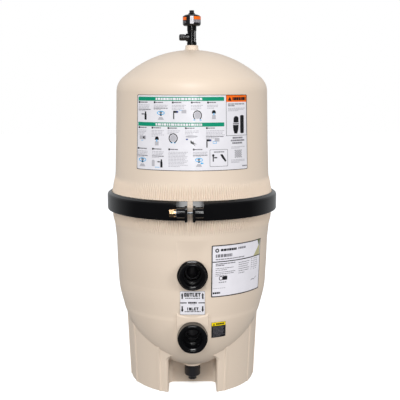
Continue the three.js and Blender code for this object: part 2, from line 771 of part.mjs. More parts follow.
// A dished hood that turns the incoming water up and round the tank wall.
function inletDiffuser() {
  const { z, tailY } = PORTS.inlet;
  const backY = tailY + 34;
  const sleeve = barAlongY(24, tailY + GAP, backY, 0, z).subtract(barAlongY(21, tailY - 1, backY - 3, 0, z));
  const slots = block(-30, 30, tailY + 8, backY - 8, z - 12, z + 12);
  const hood = barAlongY(34, backY - 3, backY, 0, z);
  return sleeve.subtract(slots).add(hood);
}

function airBleedTube() {
  const foot = MANIFOLD_Z[1] - 3;
  return post(4, ...BLEED_AT, foot, BLEED_TOP_Z, ROD_ROUND)
    .add(post(8, ...BLEED_AT, MANIFOLD_Z[1] + GAP, MANIFOLD_Z[1] + 6, ROD_ROUND))
    .subtract(post(2.4, ...BLEED_AT, foot - 1, BLEED_TOP_Z + 1, ROD_ROUND));
}

function airBleedScreen() {
  return post(9, ...BLEED_AT, BLEED_TOP_Z - 8, BLEED_TOP_Z + 22, ROD_ROUND)
    .subtract(post(6.5, ...BLEED_AT, BLEED_TOP_Z + 2, BLEED_TOP_Z + 19, ROD_ROUND))
    .subtract(post(4.4, ...BLEED_AT, BLEED_TOP_Z - 9, BLEED_TOP_Z + 3, ROD_ROUND));
}

// ---- Labels: thin films just off the surface they are stuck to ---------------

const FILM = [GAP, 0.9]; // inner and outer face, out from the surface

// A film over a stretch of a wall profile.
function filmRing(wall) {
  const inner = wall.map(([r, z]) => [r + FILM[0], z]);
  const outer = wall.map(([r, z]) => [r + FILM[1], z]);
  return closed([...outer, ...inner.reverse()]);
}

function lidLabel() {
  const wall = [[245.5, 704], [242.3, 807], [239.5, 925]];
  return turned(filmRing(wall)).intersect(wedge(-42.5, 42.5, 700, 930));
}

function nameplate() {
  const wall = [[239.9, 324], [BOWL_R, BOWL_TOP_Z], TANK_WALL[0], [245.9, 478]];
  return leaning(filmRing(wall)).intersect(wedge(14.6, 60, 320, 482));
}

function portLabel() {
  return block(-37.6, 37.6, PAD_Y - FILM[1], PAD_Y - FILM[0], 270, 340);
}

function cautionLabel() {
  const [near, far] = [0.4, 1.3].map((outset) => {
    return leaning([...bowlCurve(outset), [BOWL_R + outset, 400], [0, 400]]);
  });
  return far.subtract(near).intersect(block(57.5, 101, -400, 0, 189, 239));
}

function knobLabel() {
  return ring(KNOB_R + GAP, KNOB_R + 0.8, 1144, 1164, PIPE_ROUND).subtract(wedge(-36, -4, 1100, 1200));
}

// ---- Assembly ----------------------------------------------------------------

function named(name, solid, material) {
  const mesh = new THREE.Mesh(toGeometry(solid), material);
  mesh.name = name;
  return mesh;
}

function tankAssembly() {
  const assembly = new THREE.Group();
  assembly.add(named("tank_body", tankBody(), beigePlastic));
  assembly.add(named("base_skirt", baseSkirt(), beigePlastic));
  assembly.add(named("tank_o_ring", tankRing(), rubber));
  assembly.add(named("lid", lid(), beigePlastic));
  return assembly;
}

function portAssembly() {
  const assembly = new THREE.Group();
  for (const [name, port] of Object.entries(PORTS)) {
    assembly.add(named(`${name}_bulkhead`, bulkhead(port), blackPlastic));
    assembly.add(named(`${name}_gasket`, bulkheadGasket(port), rubber));
    assembly.add(named(`${name}_inner_nut`, bulkheadNut(port), blackPlastic));
  }
  return assembly;
}

function drainAssembly() {
  const assembly = new THREE.Group();
  assembly.position.y = DRAIN_Y;
  assembly.add(named("drain_plug", drainPlug(), blackPlastic));
  assembly.add(named("drain_plug_ring", drainRing(), rubber));
  return assembly;
}

function clampAssembly() {
  const assembly = new THREE.Group();
  assembly.add(named("clamp_left_half", clampLeftHalf(), blackPlastic));
  assembly.add(named("clamp_right_half", clampRightHalf(), blackPlastic));
  assembly.add(named("clamp_rear_link", clampRearLink(), blackPlastic));
  assembly.add(named("clamp_pin_left", hingePin(-1), steel));
  assembly.add(named("clamp_pin_right", hingePin(1), steel));
  assembly.add(named("clamp_bolt", tBolt(), steel));
  assembly.add(named("clamp_washer", clampWasher(), steel));
  assembly.add(named("clamp_nut", clampNut(), brass));
  return assembly;
}

function valveAssembly() {
  const assembly = new THREE.Group();
  assembly.add(named("valve_body", valveBody(), blackPlastic));
  assembly.add(named("valve_ring", valveRing(), rubber));
  assembly.add(named("valve_stem", valveStem(), whitePlastic));
  assembly.add(named("valve_knob", valveKnob(), blackPlastic));
  assembly.add(named("gauge_port_plug", gaugePortPlug(), blackPlastic));
  assembly.add(named("vent_cap", ventCap(), blackPlastic));
  assembly.add(named("vent_cap_gasket", ventGasket(), rubber));
  return assembly;
}

function filterPack() {
  const assembly = new THREE.Group();
  for (let i = 0; i < GRID_COUNT; i++) {
    const grid = named(`filter_grid_${i + 1}`, filterGrid(), gridCloth);
    grid.rotation.z = THREE.MathUtils.degToRad(gridTurn(i));
    assembly.add(grid);
  }
  assembly.add(named("manifold", manifold(), whitePlastic));
  assembly.add(named("grid_spacer", gridSpacer(), whitePlastic));
  assembly.add(named("outlet_standpipe", outletStandpipe(), whitePlastic));
  assembly.add(named("inlet_diffuser", inletDiffuser(), blackPlastic));
  assembly.add(named("hold_down_rod", holdDownRod(), steel));
  assembly.add(named("rod_washer", rodWasher(), steel));
  assembly.add(named("rod_wing_nut", rodNut(), brass));
  assembly.add(named("air_bleed_tube", airBleedTube(), whitePlastic));
  assembly.add(named("air_bleed_screen", airBleedScreen(), whitePlastic));
  return assembly;
}

function labelSet() {
  const assembly = new THREE.Group();
  assembly.add(named("lid_label", lidLabel(), labelFilm));
  assembly.add(named("nameplate", nameplate(), labelFilm));
  assembly.add(named("port_label", portLabel(), labelFilm));
  assembly.add(named("caution_label", cautionLabel(), labelFilm));
  assembly.add(named("knob_label", knobLabel(), labelFilm));
  return assembly;
}

const housing = new THREE.Group();
housing.add(tankAssembly(), portAssembly(), drainAssembly(), clampAssembly());
housing.add(valveAssembly(), filterPack(), labelSet());

export default housing;
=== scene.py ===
# Looks for the pool filter housing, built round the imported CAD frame.
#
# Shapes are worked out in millimetres, in the frame's axes, and become metres when
# an object is made. Angles are degrees from the front (-Y), positive towards +X.

import math
import random

import bmesh
import bpy
from mathutils import Matrix, Vector


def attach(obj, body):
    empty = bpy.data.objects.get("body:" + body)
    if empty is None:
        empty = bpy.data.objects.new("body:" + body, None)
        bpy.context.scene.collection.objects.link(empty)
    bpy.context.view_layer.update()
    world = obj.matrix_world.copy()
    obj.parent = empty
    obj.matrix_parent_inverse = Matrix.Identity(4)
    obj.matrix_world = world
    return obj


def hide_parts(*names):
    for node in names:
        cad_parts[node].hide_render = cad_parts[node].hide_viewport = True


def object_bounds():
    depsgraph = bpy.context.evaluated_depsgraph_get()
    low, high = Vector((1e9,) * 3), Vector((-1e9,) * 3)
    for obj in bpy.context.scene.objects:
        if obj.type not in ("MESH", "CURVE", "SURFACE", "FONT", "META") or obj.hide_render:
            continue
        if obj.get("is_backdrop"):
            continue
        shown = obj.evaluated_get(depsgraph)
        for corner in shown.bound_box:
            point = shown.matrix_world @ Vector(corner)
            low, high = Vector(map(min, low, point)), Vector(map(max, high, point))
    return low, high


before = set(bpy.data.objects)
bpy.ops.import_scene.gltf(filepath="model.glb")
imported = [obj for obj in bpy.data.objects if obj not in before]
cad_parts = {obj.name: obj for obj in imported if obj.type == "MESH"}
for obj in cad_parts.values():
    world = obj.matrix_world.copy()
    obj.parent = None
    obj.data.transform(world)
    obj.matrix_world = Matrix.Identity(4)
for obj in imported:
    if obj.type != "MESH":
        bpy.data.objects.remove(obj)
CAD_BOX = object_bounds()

MM = 0.001

# ---- Driving dimensions: mostly the frame's own, a few fitted to the looks ----

BOWL_TOP_Z = 341
BOWL_LOW_Z = 77
BOWL_R = 240.5
BOWL_FORWARD = 118
BOWL_ROUNDNESS = 1.9
BOWL_LEAN_POWER = 2.05
WALL = 6
TANK_WALL = [
    (240.5, 341), (243.4, 393), (245.3, 462), (249.2, 499), (250.3, 513), (252.6, 533), (255.2, 570),
]
INSIDE_R = 243  # the tank's bore above INSIDE_STEP_Z
INSIDE_STEP_Z = 480
FLANGE_R = 266
FLANGE_LOW_Z = 575.5
FLANGE_TOP_Z = 600
JOINT_Z = 586
JOINT_GAP = 0.3  # between the tank's rim and the lid
CREASE_Z = 255  # the wall tucks in here, just over the shoulder of the bowl
CREASE_DEPTH = 1.2

LID_WALL = [
    (257.2, 603.8), (255.6, 613), (251.4, 632), (248.4, 655),
    (246.4, 678), (242.3, 807), (239.5, 925),
]
LID_INSIDE = [(240.2, 678), (243.5, 640)]
KNUCKLE = {"r": 177.5, "z": 931, "radius": 62, "sweep": 47.1}
CROWN = {"z": 740, "radius": 322}
NECK_R = 20.1
NECK_TOP_Z = 1077
NECK_BORE_R = 12.5

RIB_COUNT = 219
RIB_HEIGHT = 3.2
RIB_VALLEY = 0.8
RIB_ROOT = 2.5  # how far the ring that carries the ribs reaches into the wall
LID_RIBS_Z = (616, 680)
LID_RIBS_FADE = 42
TANK_RIBS_Z = (497, 558.8)
TANK_RIBS_FADE = 43

PAD_HALF_WIDTH = 47.5
PAD_Y = -237.2
PAD_TOP = (-241.9, 490)
PAD_RUN_OUT = (-262, 512)
PAD_PLATE_TOP_Z = 254
PORT_Z = {"outlet": 390, "inlet": 200}
PORT_TAIL_Y = {"outlet": -203, "inlet": -196}
PORT_FACE_Y = -264
PORT_R = 46
PORT_TAPER = {"outlet": 5, "inlet": 0.8}
PORT_REACH = {"outlet": 0, "inlet": 9}
SOCKET_R = 30.2
SOCKET_DEPTH = 38
PORT_BORE_R = 24.5
TAIL_R = 34
PORT_LOBES = 6
PORT_LOBE_DEPTH = 0.9

DRAIN_Y = -126
COLLAR_Z = 73
COLLAR_R = 30
DRAIN_R = 25
DRAIN_BORE_R = 12.6

SKIRT_FOOT_R = 202.5
SKIRT_TAPER = 0.045
SKIRT_TOP_Z = 264
ALCOVE_HALF_WIDTH = 75
ALCOVE_TOP_Z = 114
ALCOVE_BACK_Y = -99
ALCOVE_FILLET = 17
EDGE_R = 10
SKIRT_RIBS_AT = (30.4, 62, 84)
SKIRT_RIB_HALF = 1.2
SKIRT_RIB_HEIGHT = 2.4

SIDES = ((-1, "left"), (1, "right"))
BAND_R = 273
THIN_INSET = 4.2  # how far the thin part of the band, beside the lugs, is set back and cut down
THIN_DROP = 6
BAND_Z = (560, 610)
BAND_LIP_Z = 617.5
UPPER_JAW_R = 258.8
LOWER_JAW_R = 257
JAW_SPACE_R = 267.2
GAP_CENTRE_X = -6.8
GAP_HALF = 8
EAR_THICK = 7.8
EAR_Z = (560, 604)
EAR_BACK_Y = -262
LUG_R = 15
LUG_LENGTH = 23.5
BOLT_Y = -283
BOLT_Z = 586
BOLT_R = 4.5
THREAD_PITCH = 1.5875
CLAMP_REACH_Y = 298
PIN_X = 18
PIN_Y = 285
PIN_R = 4
KNUCKLE_R = 13
HINGE_ARMS_Z = ((597, 608), (562, 573))
LINK_Z = (573.6, 596.4)
WEB_START = 5.6
JAW_START = 9.2

ARM_Z = 1101
KNOB_R = 27.7
KNOB_Z = (1140.6, 1168)
PLUG_TOP_Z = 1184.5
VALVE_BORE_R = 8

COLUMNS = 256

# ---- Materials ----

NOISE_SPAN = (0.3, 0.7)  # the part of 0 to 1 that a noise mostly fills


def linear(red, green, blue):
    """A colour given as 0-255 sRGB, as the linear colour that a shader takes."""
    share = [c / 255 for c in (red, green, blue)]
    return tuple(c / 12.92 if c <= 0.04045 else ((c + 0.055) / 1.055) ** 2.4 for c in share) + (1.0,)


def fill_in(tree, node, inputs):
    """Links each input to the socket given for it, or sets the constant on it."""
    for name, value in inputs.items():
        if isinstance(value, bpy.types.NodeSocket):
            tree.links.new(value, node.inputs[name])
        else:
            node.inputs[name].default_value = value
    return node


def add_node(tree, kind, inputs):
    return fill_in(tree, tree.nodes.new("ShaderNode" + kind), inputs)


def arithmetic(tree, operation, *values):
    node = tree.nodes.new("ShaderNodeMath")
    node.operation = operation
    return fill_in(tree, node, dict(enumerate(values))).outputs["Value"]


def noise(tree, place, scale, detail):
    return add_node(tree, "TexNoise", {"Vector": place, "Scale": scale, "Detail": detail}).outputs["Fac"]


def spread(tree, value, source, target):
    """Carries one (low, high) range over to another."""
    ends = {"From Min": source[0], "From Max": source[1], "To Min": target[0], "To Max": target[1]}
    return add_node(tree, "MapRange", {"Value": value, **ends}).outputs["Result"]


def surface(name, colour, roughness, *grains, mottle=0.04, mottle_scale=9.0, metallic=0.0, coat=0.0,
            stretch=(1, 1, 1)):
    """A moulded, cast or machined finish: mottled colour, uneven gloss and fine grains.
    A grain is (bumps in a metre, depth in millimetres); stretch draws them out along an axis."""
    material = bpy.data.materials.new(name)
    material.use_nodes = True
    tree = material.node_tree
    place = tree.nodes.new("ShaderNodeTexCoord").outputs["Object"]
    drawn = add_node(tree, "Mapping", {"Vector": place, "Scale": stretch}).outputs["Vector"]

    base = linear(*colour)[:3]
    mix = tree.nodes.new("ShaderNodeMix")
    mix.data_type = "RGBA"
    fill_in(tree, mix, {
        "A": tuple(c * (1 - mottle) for c in base) + (1.0,),
        "B": tuple(min(c * (1 + mottle), 1.0) for c in base) + (1.0,),
        "Factor": spread(tree, noise(tree, place, mottle_scale, 5.0), NOISE_SPAN, (0.0, 1.0)),
    })
    uneven = noise(tree, drawn, mottle_scale * 6, 4.0)
    gloss = spread(tree, uneven, NOISE_SPAN, (roughness * 0.85, roughness * 1.15))

    normal = None
    for bumps, depth in grains:
        bump = {"Height": noise(tree, drawn, bumps, 2.0), "Strength": 1.0, "Distance": depth * MM}
        if normal:
            bump["Normal"] = normal
        normal = add_node(tree, "Bump", bump).outputs["Normal"]

    fill_in(tree, tree.nodes["Principled BSDF"], {
        "Base Color": mix.outputs["Result"], "Roughness": gloss, "Normal": normal, "Metallic": metallic,
        "Coat Weight": coat, "Coat Roughness": 0.12,
    })
    return material


def cloth(name, colour, threads):
    """Plain-woven cloth: two crossed waves of thread with a soft sheen."""
    material = surface(name, colour, 0.85, (900, 0.03))
    tree = material.node_tree
    place = tree.nodes.new("ShaderNodeTexCoord").outputs["Object"]
    heights = []
    for direction in ("Z", "DIAGONAL"):
        wave = tree.nodes.new("ShaderNodeTexWave")
        wave.bands_direction = direction
        fill_in(tree, wave, {"Vector": place, "Scale": threads, "Distortion": 0.4})
        heights.append(wave.outputs["Fac"])
    weave = arithmetic(tree, "MAXIMUM", *heights)
    bump = add_node(tree, "Bump", {"Height": weave, "Distance": 0.15 * MM})
    fill_in(tree, tree.nodes["Principled BSDF"], {"Normal": bump.outputs["Normal"], "Sheen Weight": 0.3})
    return material


SHELL = surface("beige_shell", (230, 212, 193), 0.42, (900, 0.012), (160, 0.05), mottle=0.02, mottle_scale=4)
BLACK = surface("black_plastic", (12, 12, 14), 0.16, (600, 0.008), (90, 0.02), mottle=0.15)
MATT_BLACK = surface("matt_black_plastic", (38, 37, 40), 0.42, (1200, 0.03), mottle=0.12)
RUBBER = surface("rubber", (26, 26, 27), 0.75, (1500, 0.04), mottle=0.1)
WHITE = surface("white_plastic", (232, 232, 226), 0.45, (900, 0.02), mottle=0.02)
CLOTH = cloth("grid_cloth", (240, 237, 230), 260)
STEEL = surface("steel", (196, 199, 203), 0.27, (500, 0.02), mottle=0.06, metallic=1, stretch=(0.06, 1, 1))
BRASS = surface("brass", (244, 204, 158), 0.16, (700, 0.015), mottle=0.06, metallic=1, stretch=(1, 0.2, 0.2))

INKS = {
    "white": (232, 230, 235), "plate": (242, 239, 245), "dark": (28, 28, 32), "grey": (128, 126, 132),
    "pale": (186, 184, 190), "green": (0, 146, 112), "orange": (255, 112, 10), "yellow": (255, 226, 0),
    "cyan": (52, 176, 232), "blue": (40, 66, 140), "olive": (106, 112, 62), "khaki": (190, 184, 140),
}
PRINT = {ink: surface(f"print_{ink}", rgb, 0.38, (900, 0.008), mottle=0.03, mottle_scale=30, coat=0.15)
         for ink, rgb in INKS.items()}


# ---- Mesh helpers ----


def new_object(name, points, faces):
    mesh = bpy.data.meshes.new(name)
    mesh.from_pydata([tuple(c * MM for c in point) for point in points], [], faces)
    obj = bpy.data.objects.new(name, mesh)
    bpy.context.scene.collection.objects.link(obj)
    shape = bmesh.new()
    shape.from_mesh(mesh)
    bmesh.ops.recalc_face_normals(shape, faces=shape.faces)
    shape.to_mesh(mesh)
    shape.free()
    return obj


def settle(obj):
    """Makes the result of an object's modifiers its own mesh."""
    bpy.context.view_layer.update()
    made = bpy.data.meshes.new_from_object(obj.evaluated_get(bpy.context.evaluated_depsgraph_get()))
    old = obj.data
    obj.modifiers.clear()
    obj.data = made
    bpy.data.meshes.remove(old)
    return obj


def combine(obj, tool, operation):
    modifier = obj.modifiers.new("combine", "BOOLEAN")
    modifier.operation = operation
    modifier.solver = "MANIFOLD"
    modifier.object = tool
    settle(obj)
    bpy.data.objects.remove(tool)
    return obj


def join(obj, *tools):
    for tool in tools:
        combine(obj, tool, "UNION")
    return obj


def cut(obj, *tools):
    for tool in tools:
        combine(obj, tool, "DIFFERENCE")
    return obj


def bevel(obj, width, segments=3, angle=40):
    modifier = obj.modifiers.new("bevel", "BEVEL")
    modifier.width = width * MM
    modifier.segments = segments
    modifier.limit_method = "ANGLE"
    modifier.angle_limit = math.radians(angle)
    return settle(obj)


def move(obj, x=0, y=0, z=0):
    obj.data.transform(Matrix.Translation(Vector((x, y, z)) * MM))
    return obj


def turn(obj, degrees, axis):
    obj.data.transform(Matrix.Rotation(math.radians(degrees), 4, axis))
    return obj


def around(angle, r, z):
    """The point at an angle from the front, a radius and a height."""
    a = math.radians(angle)
    return (r * math.sin(a), -r * math.cos(a), z)


def rounded(corners, radius, closed=True, steps=4):
    """An outline with its corners rounded. A corner may carry its own radius as a third number."""
    points = []
    count = len(corners)
    for i, corner in enumerate(corners):
        here = Vector(corner[:2])
        size = corner[2] if len(corner) > 2 else radius
        if size <= 0 or (not closed and i in (0, count - 1)):
            points.append(tuple(here))
            continue
        back = Vector(corners[i - 1][:2]) - here
        ahead = Vector(corners[(i + 1) % count][:2]) - here
        half = back.angle(ahead) / 2
        if half > math.radians(88):
            points.append(tuple(here))
            continue
        reach = min(size / math.tan(half), 0.45 * back.length, 0.45 * ahead.length)
        start = here + back.normalized() * reach
        end = here + ahead.normalized() * reach
        for k in range(steps + 1):
            t = k / steps
            points.append(tuple(start * (1 - t) ** 2 + here * 2 * t * (1 - t) + end * t ** 2))
    return points


def arc(x, y, radius, start, end, steps):
    """Points of an arc about (x, y) between two angles measured from +X."""
    angles = [math.radians(start + (end - start) * i / steps) for i in range(steps + 1)]
    return [(x + radius * math.cos(a), y + radius * math.sin(a)) for a in angles]


def grid_faces(rows, columns, closed_rows, closed_columns):
    faces = []
    for i in range(rows if closed_rows else rows - 1):
        for j in range(columns if closed_columns else columns - 1):
            a, b = i * columns, ((i + 1) % rows) * columns
            k = (j + 1) % columns
            faces.append((a + j, a + k, b + k, b + j))
    return faces


def lathe(profile, columns=COLUMNS, angles=None, warp=None):
    """Turns (r, z) points about Z. A profile that starts and ends on the axis gets poles there;
    any other is joined end to start. warp(angle, r, z) may move the point at an angle."""
    angles = angles or [360 * j / columns for j in range(columns)]
    columns = len(angles)
    poles = profile[0][0] < 1e-6 and profile[-1][0] < 1e-6
    rows = profile[1:-1] if poles else profile
    place = warp or around
    points = [place(a, r, z) for r, z in rows for a in angles]
    faces = grid_faces(len(rows), columns, not poles, True)
    if poles:
        for end, first in ((profile[0], 0), (profile[-1], (len(rows) - 1) * columns)):
            points.append(place(0, *end))
            faces += [(first + j, first + (j + 1) % columns, len(points) - 1) for j in range(columns)]
    return new_object("lathe", points, faces)


def sweep(section, start, end, columns):
    """Carries a closed (r, z) section round Z from one angle to another and caps its ends."""
    rows = [start + (end - start) * i / columns for i in range(columns + 1)]
    size = len(section)
    points = [around(a, r, z) for a in rows for r, z in section]
    faces = grid_faces(len(rows), size, False, True)
    faces += [tuple(range(size)), tuple(range(len(points) - size, len(points)))]
    return new_object("sweep", points, faces)


def prism(outline, low, high, axis="Z"):
    """Carries a closed outline along an axis: (x, y) points for Z, (x, z) for Y and (y, z) for X."""
    place = {
        "Z": lambda a, b, c: (a, b, c), "Y": lambda a, b, c: (a, c, b), "X": lambda a, b, c: (c, a, b),
    }[axis]
    size = len(outline)
    points = [place(a, b, c) for c in (low, high) for a, b in outline]
    faces = [tuple(range(size)), tuple(range(size, 2 * size))]
    faces += [(i, (i + 1) % size, size + (i + 1) % size, size + i) for i in range(size)]
    return new_object("prism", points, faces)


def block(x0, x1, y0, y1, z0, z1):
    return prism([(x0, y0), (x1, y0), (x1, y1), (x0, y1)], z0, z1)


def along_x(profile, y, z, columns=96, warp=None):
    return move(turn(lathe(profile, columns, warp=warp), 90, "Y"), 0, y, z)


def along_y(profile, x, z, columns=128, warp=None):
    return move(turn(lathe(profile, columns, warp=warp), -90, "X"), x, 0, z)


def rod(r, low, high, columns=64, edges=None):
    """A round bar along Z. edges gives the rounding of its low and high rims."""
    profile = [(0, low), (r, low), (r, high), (0, high)]
    if edges:
        profile[1:3] = [(r, low, edges[0]), (r, high, edges[1])]
        profile = rounded(profile, 0, closed=False)
    return lathe(profile, columns)


def x_rod(r, low, high, y, z, columns=96, edges=None):
    return move(turn(rod(r, low, high, columns, edges), 90, "Y"), 0, y, z)


def piece(obj, name, material, body="housing", replaces="", sharp=38, weighted=True):
    """Names an object, gives it its finish and fastens it to the body it moves with."""
    obj.name = name
    obj.data.name = name
    obj.data.shade_smooth()
    obj.data.set_sharp_from_angle(angle=math.radians(sharp))
    obj.data.materials.clear()
    obj.data.materials.append(material)
    if weighted:
        normals = obj.modifiers.new("normals", "WEIGHTED_NORMAL")
        normals.keep_sharp = True
    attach(obj, body)
    if replaces:
        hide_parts(replaces)
    return obj


def smooth_step(low, high, value):
    t = min(max((value - low) / (high - low), 0.0), 1.0)
    return t * t * (3 - 2 * t)


def valley(angle, count):
    """Of so many waves round a circle: 0 along the crests and 1 in the valleys."""
    return 0.5 - 0.5 * math.cos(math.radians(angle * count))


def along(profile, z):
    """The radius of a list of (r, z) points at a height."""
    if z <= profile[0][1]:
        return profile[0][0]
    for (r0, z0), (r1, z1) in zip(profile, profile[1:]):
        if z <= z1:
            return r0 + (r1 - r0) * (z - z0) / (z1 - z0)
    return profile[-1][0]


# ---- Tank ----


def bowl_share(z):
    return min(max((BOWL_TOP_Z - z) / (BOWL_TOP_Z - BOWL_LOW_Z), 0.0), 1.0)


def forward(z):
    """How far the bowl has slid towards the front at a height."""
    return BOWL_FORWARD * bowl_share(z) ** BOWL_LEAN_POWER


def tank_radius(z):
    if z >= BOWL_TOP_Z:
        return along(TANK_WALL, z)
    tuck = CREASE_DEPTH * smooth_step(CREASE_Z - 14, CREASE_Z + 2, z)
    tuck *= 1 - smooth_step(CREASE_Z + 2, CREASE_Z + 60, z)
    return BOWL_R * math.sqrt(max(1 - bowl_share(z) ** BOWL_ROUNDNESS, 0.0)) - tuck


def pad_y(z):
    if z <= BOWL_TOP_Z:
        return PAD_Y
    (y1, z1), (y2, z2) = PAD_TOP, PAD_RUN_OUT
    if z <= z1:
        return PAD_Y + (y1 - PAD_Y) * (z - BOWL_TOP_Z) / (z1 - BOWL_TOP_Z)
    return y1 + (y2 - y1) * (z - z1) / (z2 - z1)


def on_tank(angle, z, out=0.0):
    """A point of the tank's outside, or a little way out from it, without the port pad."""
    x, y, _ = around(angle, tank_radius(z) + out, z)
    return (x, y - forward(z), z)


def tank_point(angle, z):
    """A point of the tank's outside with the flat port pad on its front."""
    radius, shift = tank_radius(z), forward(z)
    a = math.radians(angle)
    if abs(angle) < 60 and 140 < z < PAD_RUN_OUT[1]:
        x = radius * math.sin(a)
        below = max(PORT_Z["inlet"] - z, 0)
        inward = PAD_HALF_WIDTH - math.hypot(x, below)
        flat = (-pad_y(z) - shift) / math.cos(a)
        plate_top = PAD_PLATE_TOP_Z + 11 * (x / PAD_HALF_WIDTH) ** 2
        if z > plate_top:
            flat = min(flat, radius + max(flat - radius, 0) * (1 - smooth_step(plate_top, plate_top + 5, z)))
        fade = 1 - smooth_step(PAD_TOP[1] - 50, PAD_TOP[1] + 12, z)
        radius += (flat - radius) * smooth_step(-1.2, 1.2, inward) * fade
    return (radius * math.sin(a), -radius * math.cos(a) - shift, z)


def tank_angles():
    """Columns close together across the port pad and further apart round the back."""
    half = [0.25 * i for i in range(63)] + [16 + i for i in range(8)] + [24 + 2 * i for i in range(78)]
    return half + [-a for a in reversed(half[1:])]


def tank_heights():
    low = [BOWL_TOP_Z - (BOWL_TOP_Z - BOWL_LOW_Z) * math.sin(math.radians(90 - 2 * i)) for i in range(1, 20)]
    low = [z for z in low if z < 128]
    middle = [130 + 1.5 * i for i in range(142)]
    high = [345 + 6 * i for i in range(23)]
    high += [480, 482, 485, 487, 489, 490, 492]  # closer together where the pad ends
    high += [495 + 3 * i for i in range(26)] + [574.6]
    return low + middle + high


def tank_body():
    angles = tank_angles()
    heights = tank_heights()
    count = len(angles)
    rim_z = JOINT_Z - JOINT_GAP
    rings = [[tank_point(a, z) for a in angles] for z in heights]
    for r, z in ((FLANGE_R, FLANGE_LOW_Z), (FLANGE_R, rim_z), (INSIDE_R, rim_z)):
        rings.append([around(a, r, z) for a in angles])
    inside = [z for z in heights[::4] if z < INSIDE_STEP_Z] + [520]
    for z in reversed(inside):
        r = INSIDE_R if z > INSIDE_STEP_Z else max(tank_radius(z) - WALL, 2)
        ring = [around(a, r, z + (WALL if z < 110 else 0)) for a in angles]
        rings.append([(x, y - forward(z), h) for x, y, h in ring])
    points = [(0, -BOWL_FORWARD, BOWL_LOW_Z)] + [point for ring in rings for point in ring]
    faces = [(0, 1 + (j + 1) % count, 1 + j) for j in range(count)]
    faces += [tuple(1 + v for v in face) for face in grid_faces(len(rings), count, False, True)]
    last = 1 + (len(rings) - 1) * count
    points.append((0, -BOWL_FORWARD, BOWL_LOW_Z + WALL + 1))
    faces += [(last + j, last + (j + 1) % count, len(points) - 1) for j in range(count)]
    body = new_object("tank", points, faces)
    join(body, move(rod(COLLAR_R, COLLAR_Z, BOWL_LOW_Z + 12, 96, (2, 0)), 0, DRAIN_Y))
    cut(body, move(rod(DRAIN_BORE_R, COLLAR_Z - 1, BOWL_LOW_Z + 40), 0, DRAIN_Y))
    for z in PORT_Z.values():
        cut(body, along_y([(0, -300), (TAIL_R + 0.5, -300), (TAIL_R + 0.5, -180), (0, -180)], 0, z))
    piece(body, "tank", SHELL, replaces="tank_body", sharp=50)


def ribbed_band(name, wall, ends, fade):
    """A closed ring of upright ribs that stands proud of a wall between two heights."""
    low, high = ends
    steps = 16
    outer = [(1, low + (high - low) * i / steps) for i in range(steps + 1)]
    inner = [(0, high), (0, low)]

    def place(angle, side, z):
        proud = fade(z) * (RIB_HEIGHT + RIB_VALLEY) * (1 - valley(angle, RIB_COUNT)) ** 0.5 - RIB_VALLEY
        return around(angle, along(wall, z) + (proud if side else -RIB_ROOT), z)

    piece(lathe(outer + inner, RIB_COUNT * 8, warp=place), name, SHELL, sharp=75, weighted=False)


def tank_ribs():
    low = TANK_RIBS_Z[0]
    ribbed_band("tank_ribs", TANK_WALL, TANK_RIBS_Z, lambda z: smooth_step(low, low + TANK_RIBS_FADE, z))


# ---- Lid ----


def knuckle_points(inset, steps):
    k = KNUCKLE
    return arc(k["r"], k["z"], k["radius"] - inset, 0, k["sweep"], steps)


def crown_points(inset, inner_r, steps):
    radius = CROWN["radius"] - inset
    outer_r = knuckle_points(inset, 1)[-1][0]
    rs = [outer_r + (inner_r - outer_r) * i / steps for i in range(1, steps + 1)]
    return [(r, CROWN["z"] + math.sqrt(radius ** 2 - r ** 2)) for r in rs]


def lid():
    shoulder = LID_WALL[0]
    flange = [(INSIDE_R + 0.5, JOINT_Z), (FLANGE_R, JOINT_Z), (FLANGE_R, FLANGE_TOP_Z), shoulder]
    flange = rounded(flange, 1.5, closed=False)
    wall = rounded(LID_WALL, 3, closed=False, steps=3)
    neck = rounded([
        (NECK_R + 19, 1059.6), (NECK_R + 0.9, 1061.5, 14), (NECK_R, NECK_TOP_Z - 0.6, 3),
        (NECK_BORE_R, NECK_TOP_Z, 1),
    ], 1, closed=False, steps=6)
    crown = crown_points(0, NECK_R + 20, 26)
    inside = [(NECK_BORE_R, 1055)] + crown_points(WALL, NECK_BORE_R + 2, 12)[::-1]
    inside += knuckle_points(WALL, 10)[::-1] + LID_INSIDE
    profile = flange + wall[1:] + knuckle_points(0, 20) + crown + neck[1:] + inside
    piece(lathe(profile), "lid_shell", SHELL, replaces="lid", sharp=42, weighted=False)


def lid_ribs():
    high = LID_RIBS_Z[1]
    ribbed_band("lid_ribs", LID_WALL, LID_RIBS_Z, lambda z: 1 - smooth_step(high - LID_RIBS_FADE, high, z))


# ---- Base ----


def skirt_radius(z):
    return SKIRT_FOOT_R + SKIRT_TAPER * z


def skirt_angles():
    marks = []
    for centre in SKIRT_RIBS_AT:
        for side in (-1, 1):
            marks += [side * centre + SKIRT_RIB_HALF * k for k in (-1.3, -1, -0.7, 0, 0.7, 1, 1.3)]
    plain = [1.5 * i - 180 for i in range(240)]
    plain = [a for a in plain if all(abs(a - m) > 0.5 for m in marks)]
    return sorted(plain + marks)


def skirt_relief(angle):
    """How far the outside stands out at an angle: 0 on the panels and full on the upright ribs."""
    from_rib = min(abs(abs(angle) - centre) for centre in SKIRT_RIBS_AT)
    return SKIRT_RIB_HEIGHT * (1 - smooth_step(SKIRT_RIB_HALF * 0.7, SKIRT_RIB_HALF * 1.3, from_rib))


def arch(grow):
    """The recess's outline from the front as (x, z), drawn out by an offset all round."""
    half, top = ALCOVE_HALF_WIDTH + grow, ALCOVE_TOP_Z + grow
    corner = max(ALCOVE_FILLET + grow, 1)
    outline = [(half, -1)] + arc(half - corner, top - corner, corner, 0, 90, 8)
    return outline + [(-x, z) for x, z in reversed(outline)]


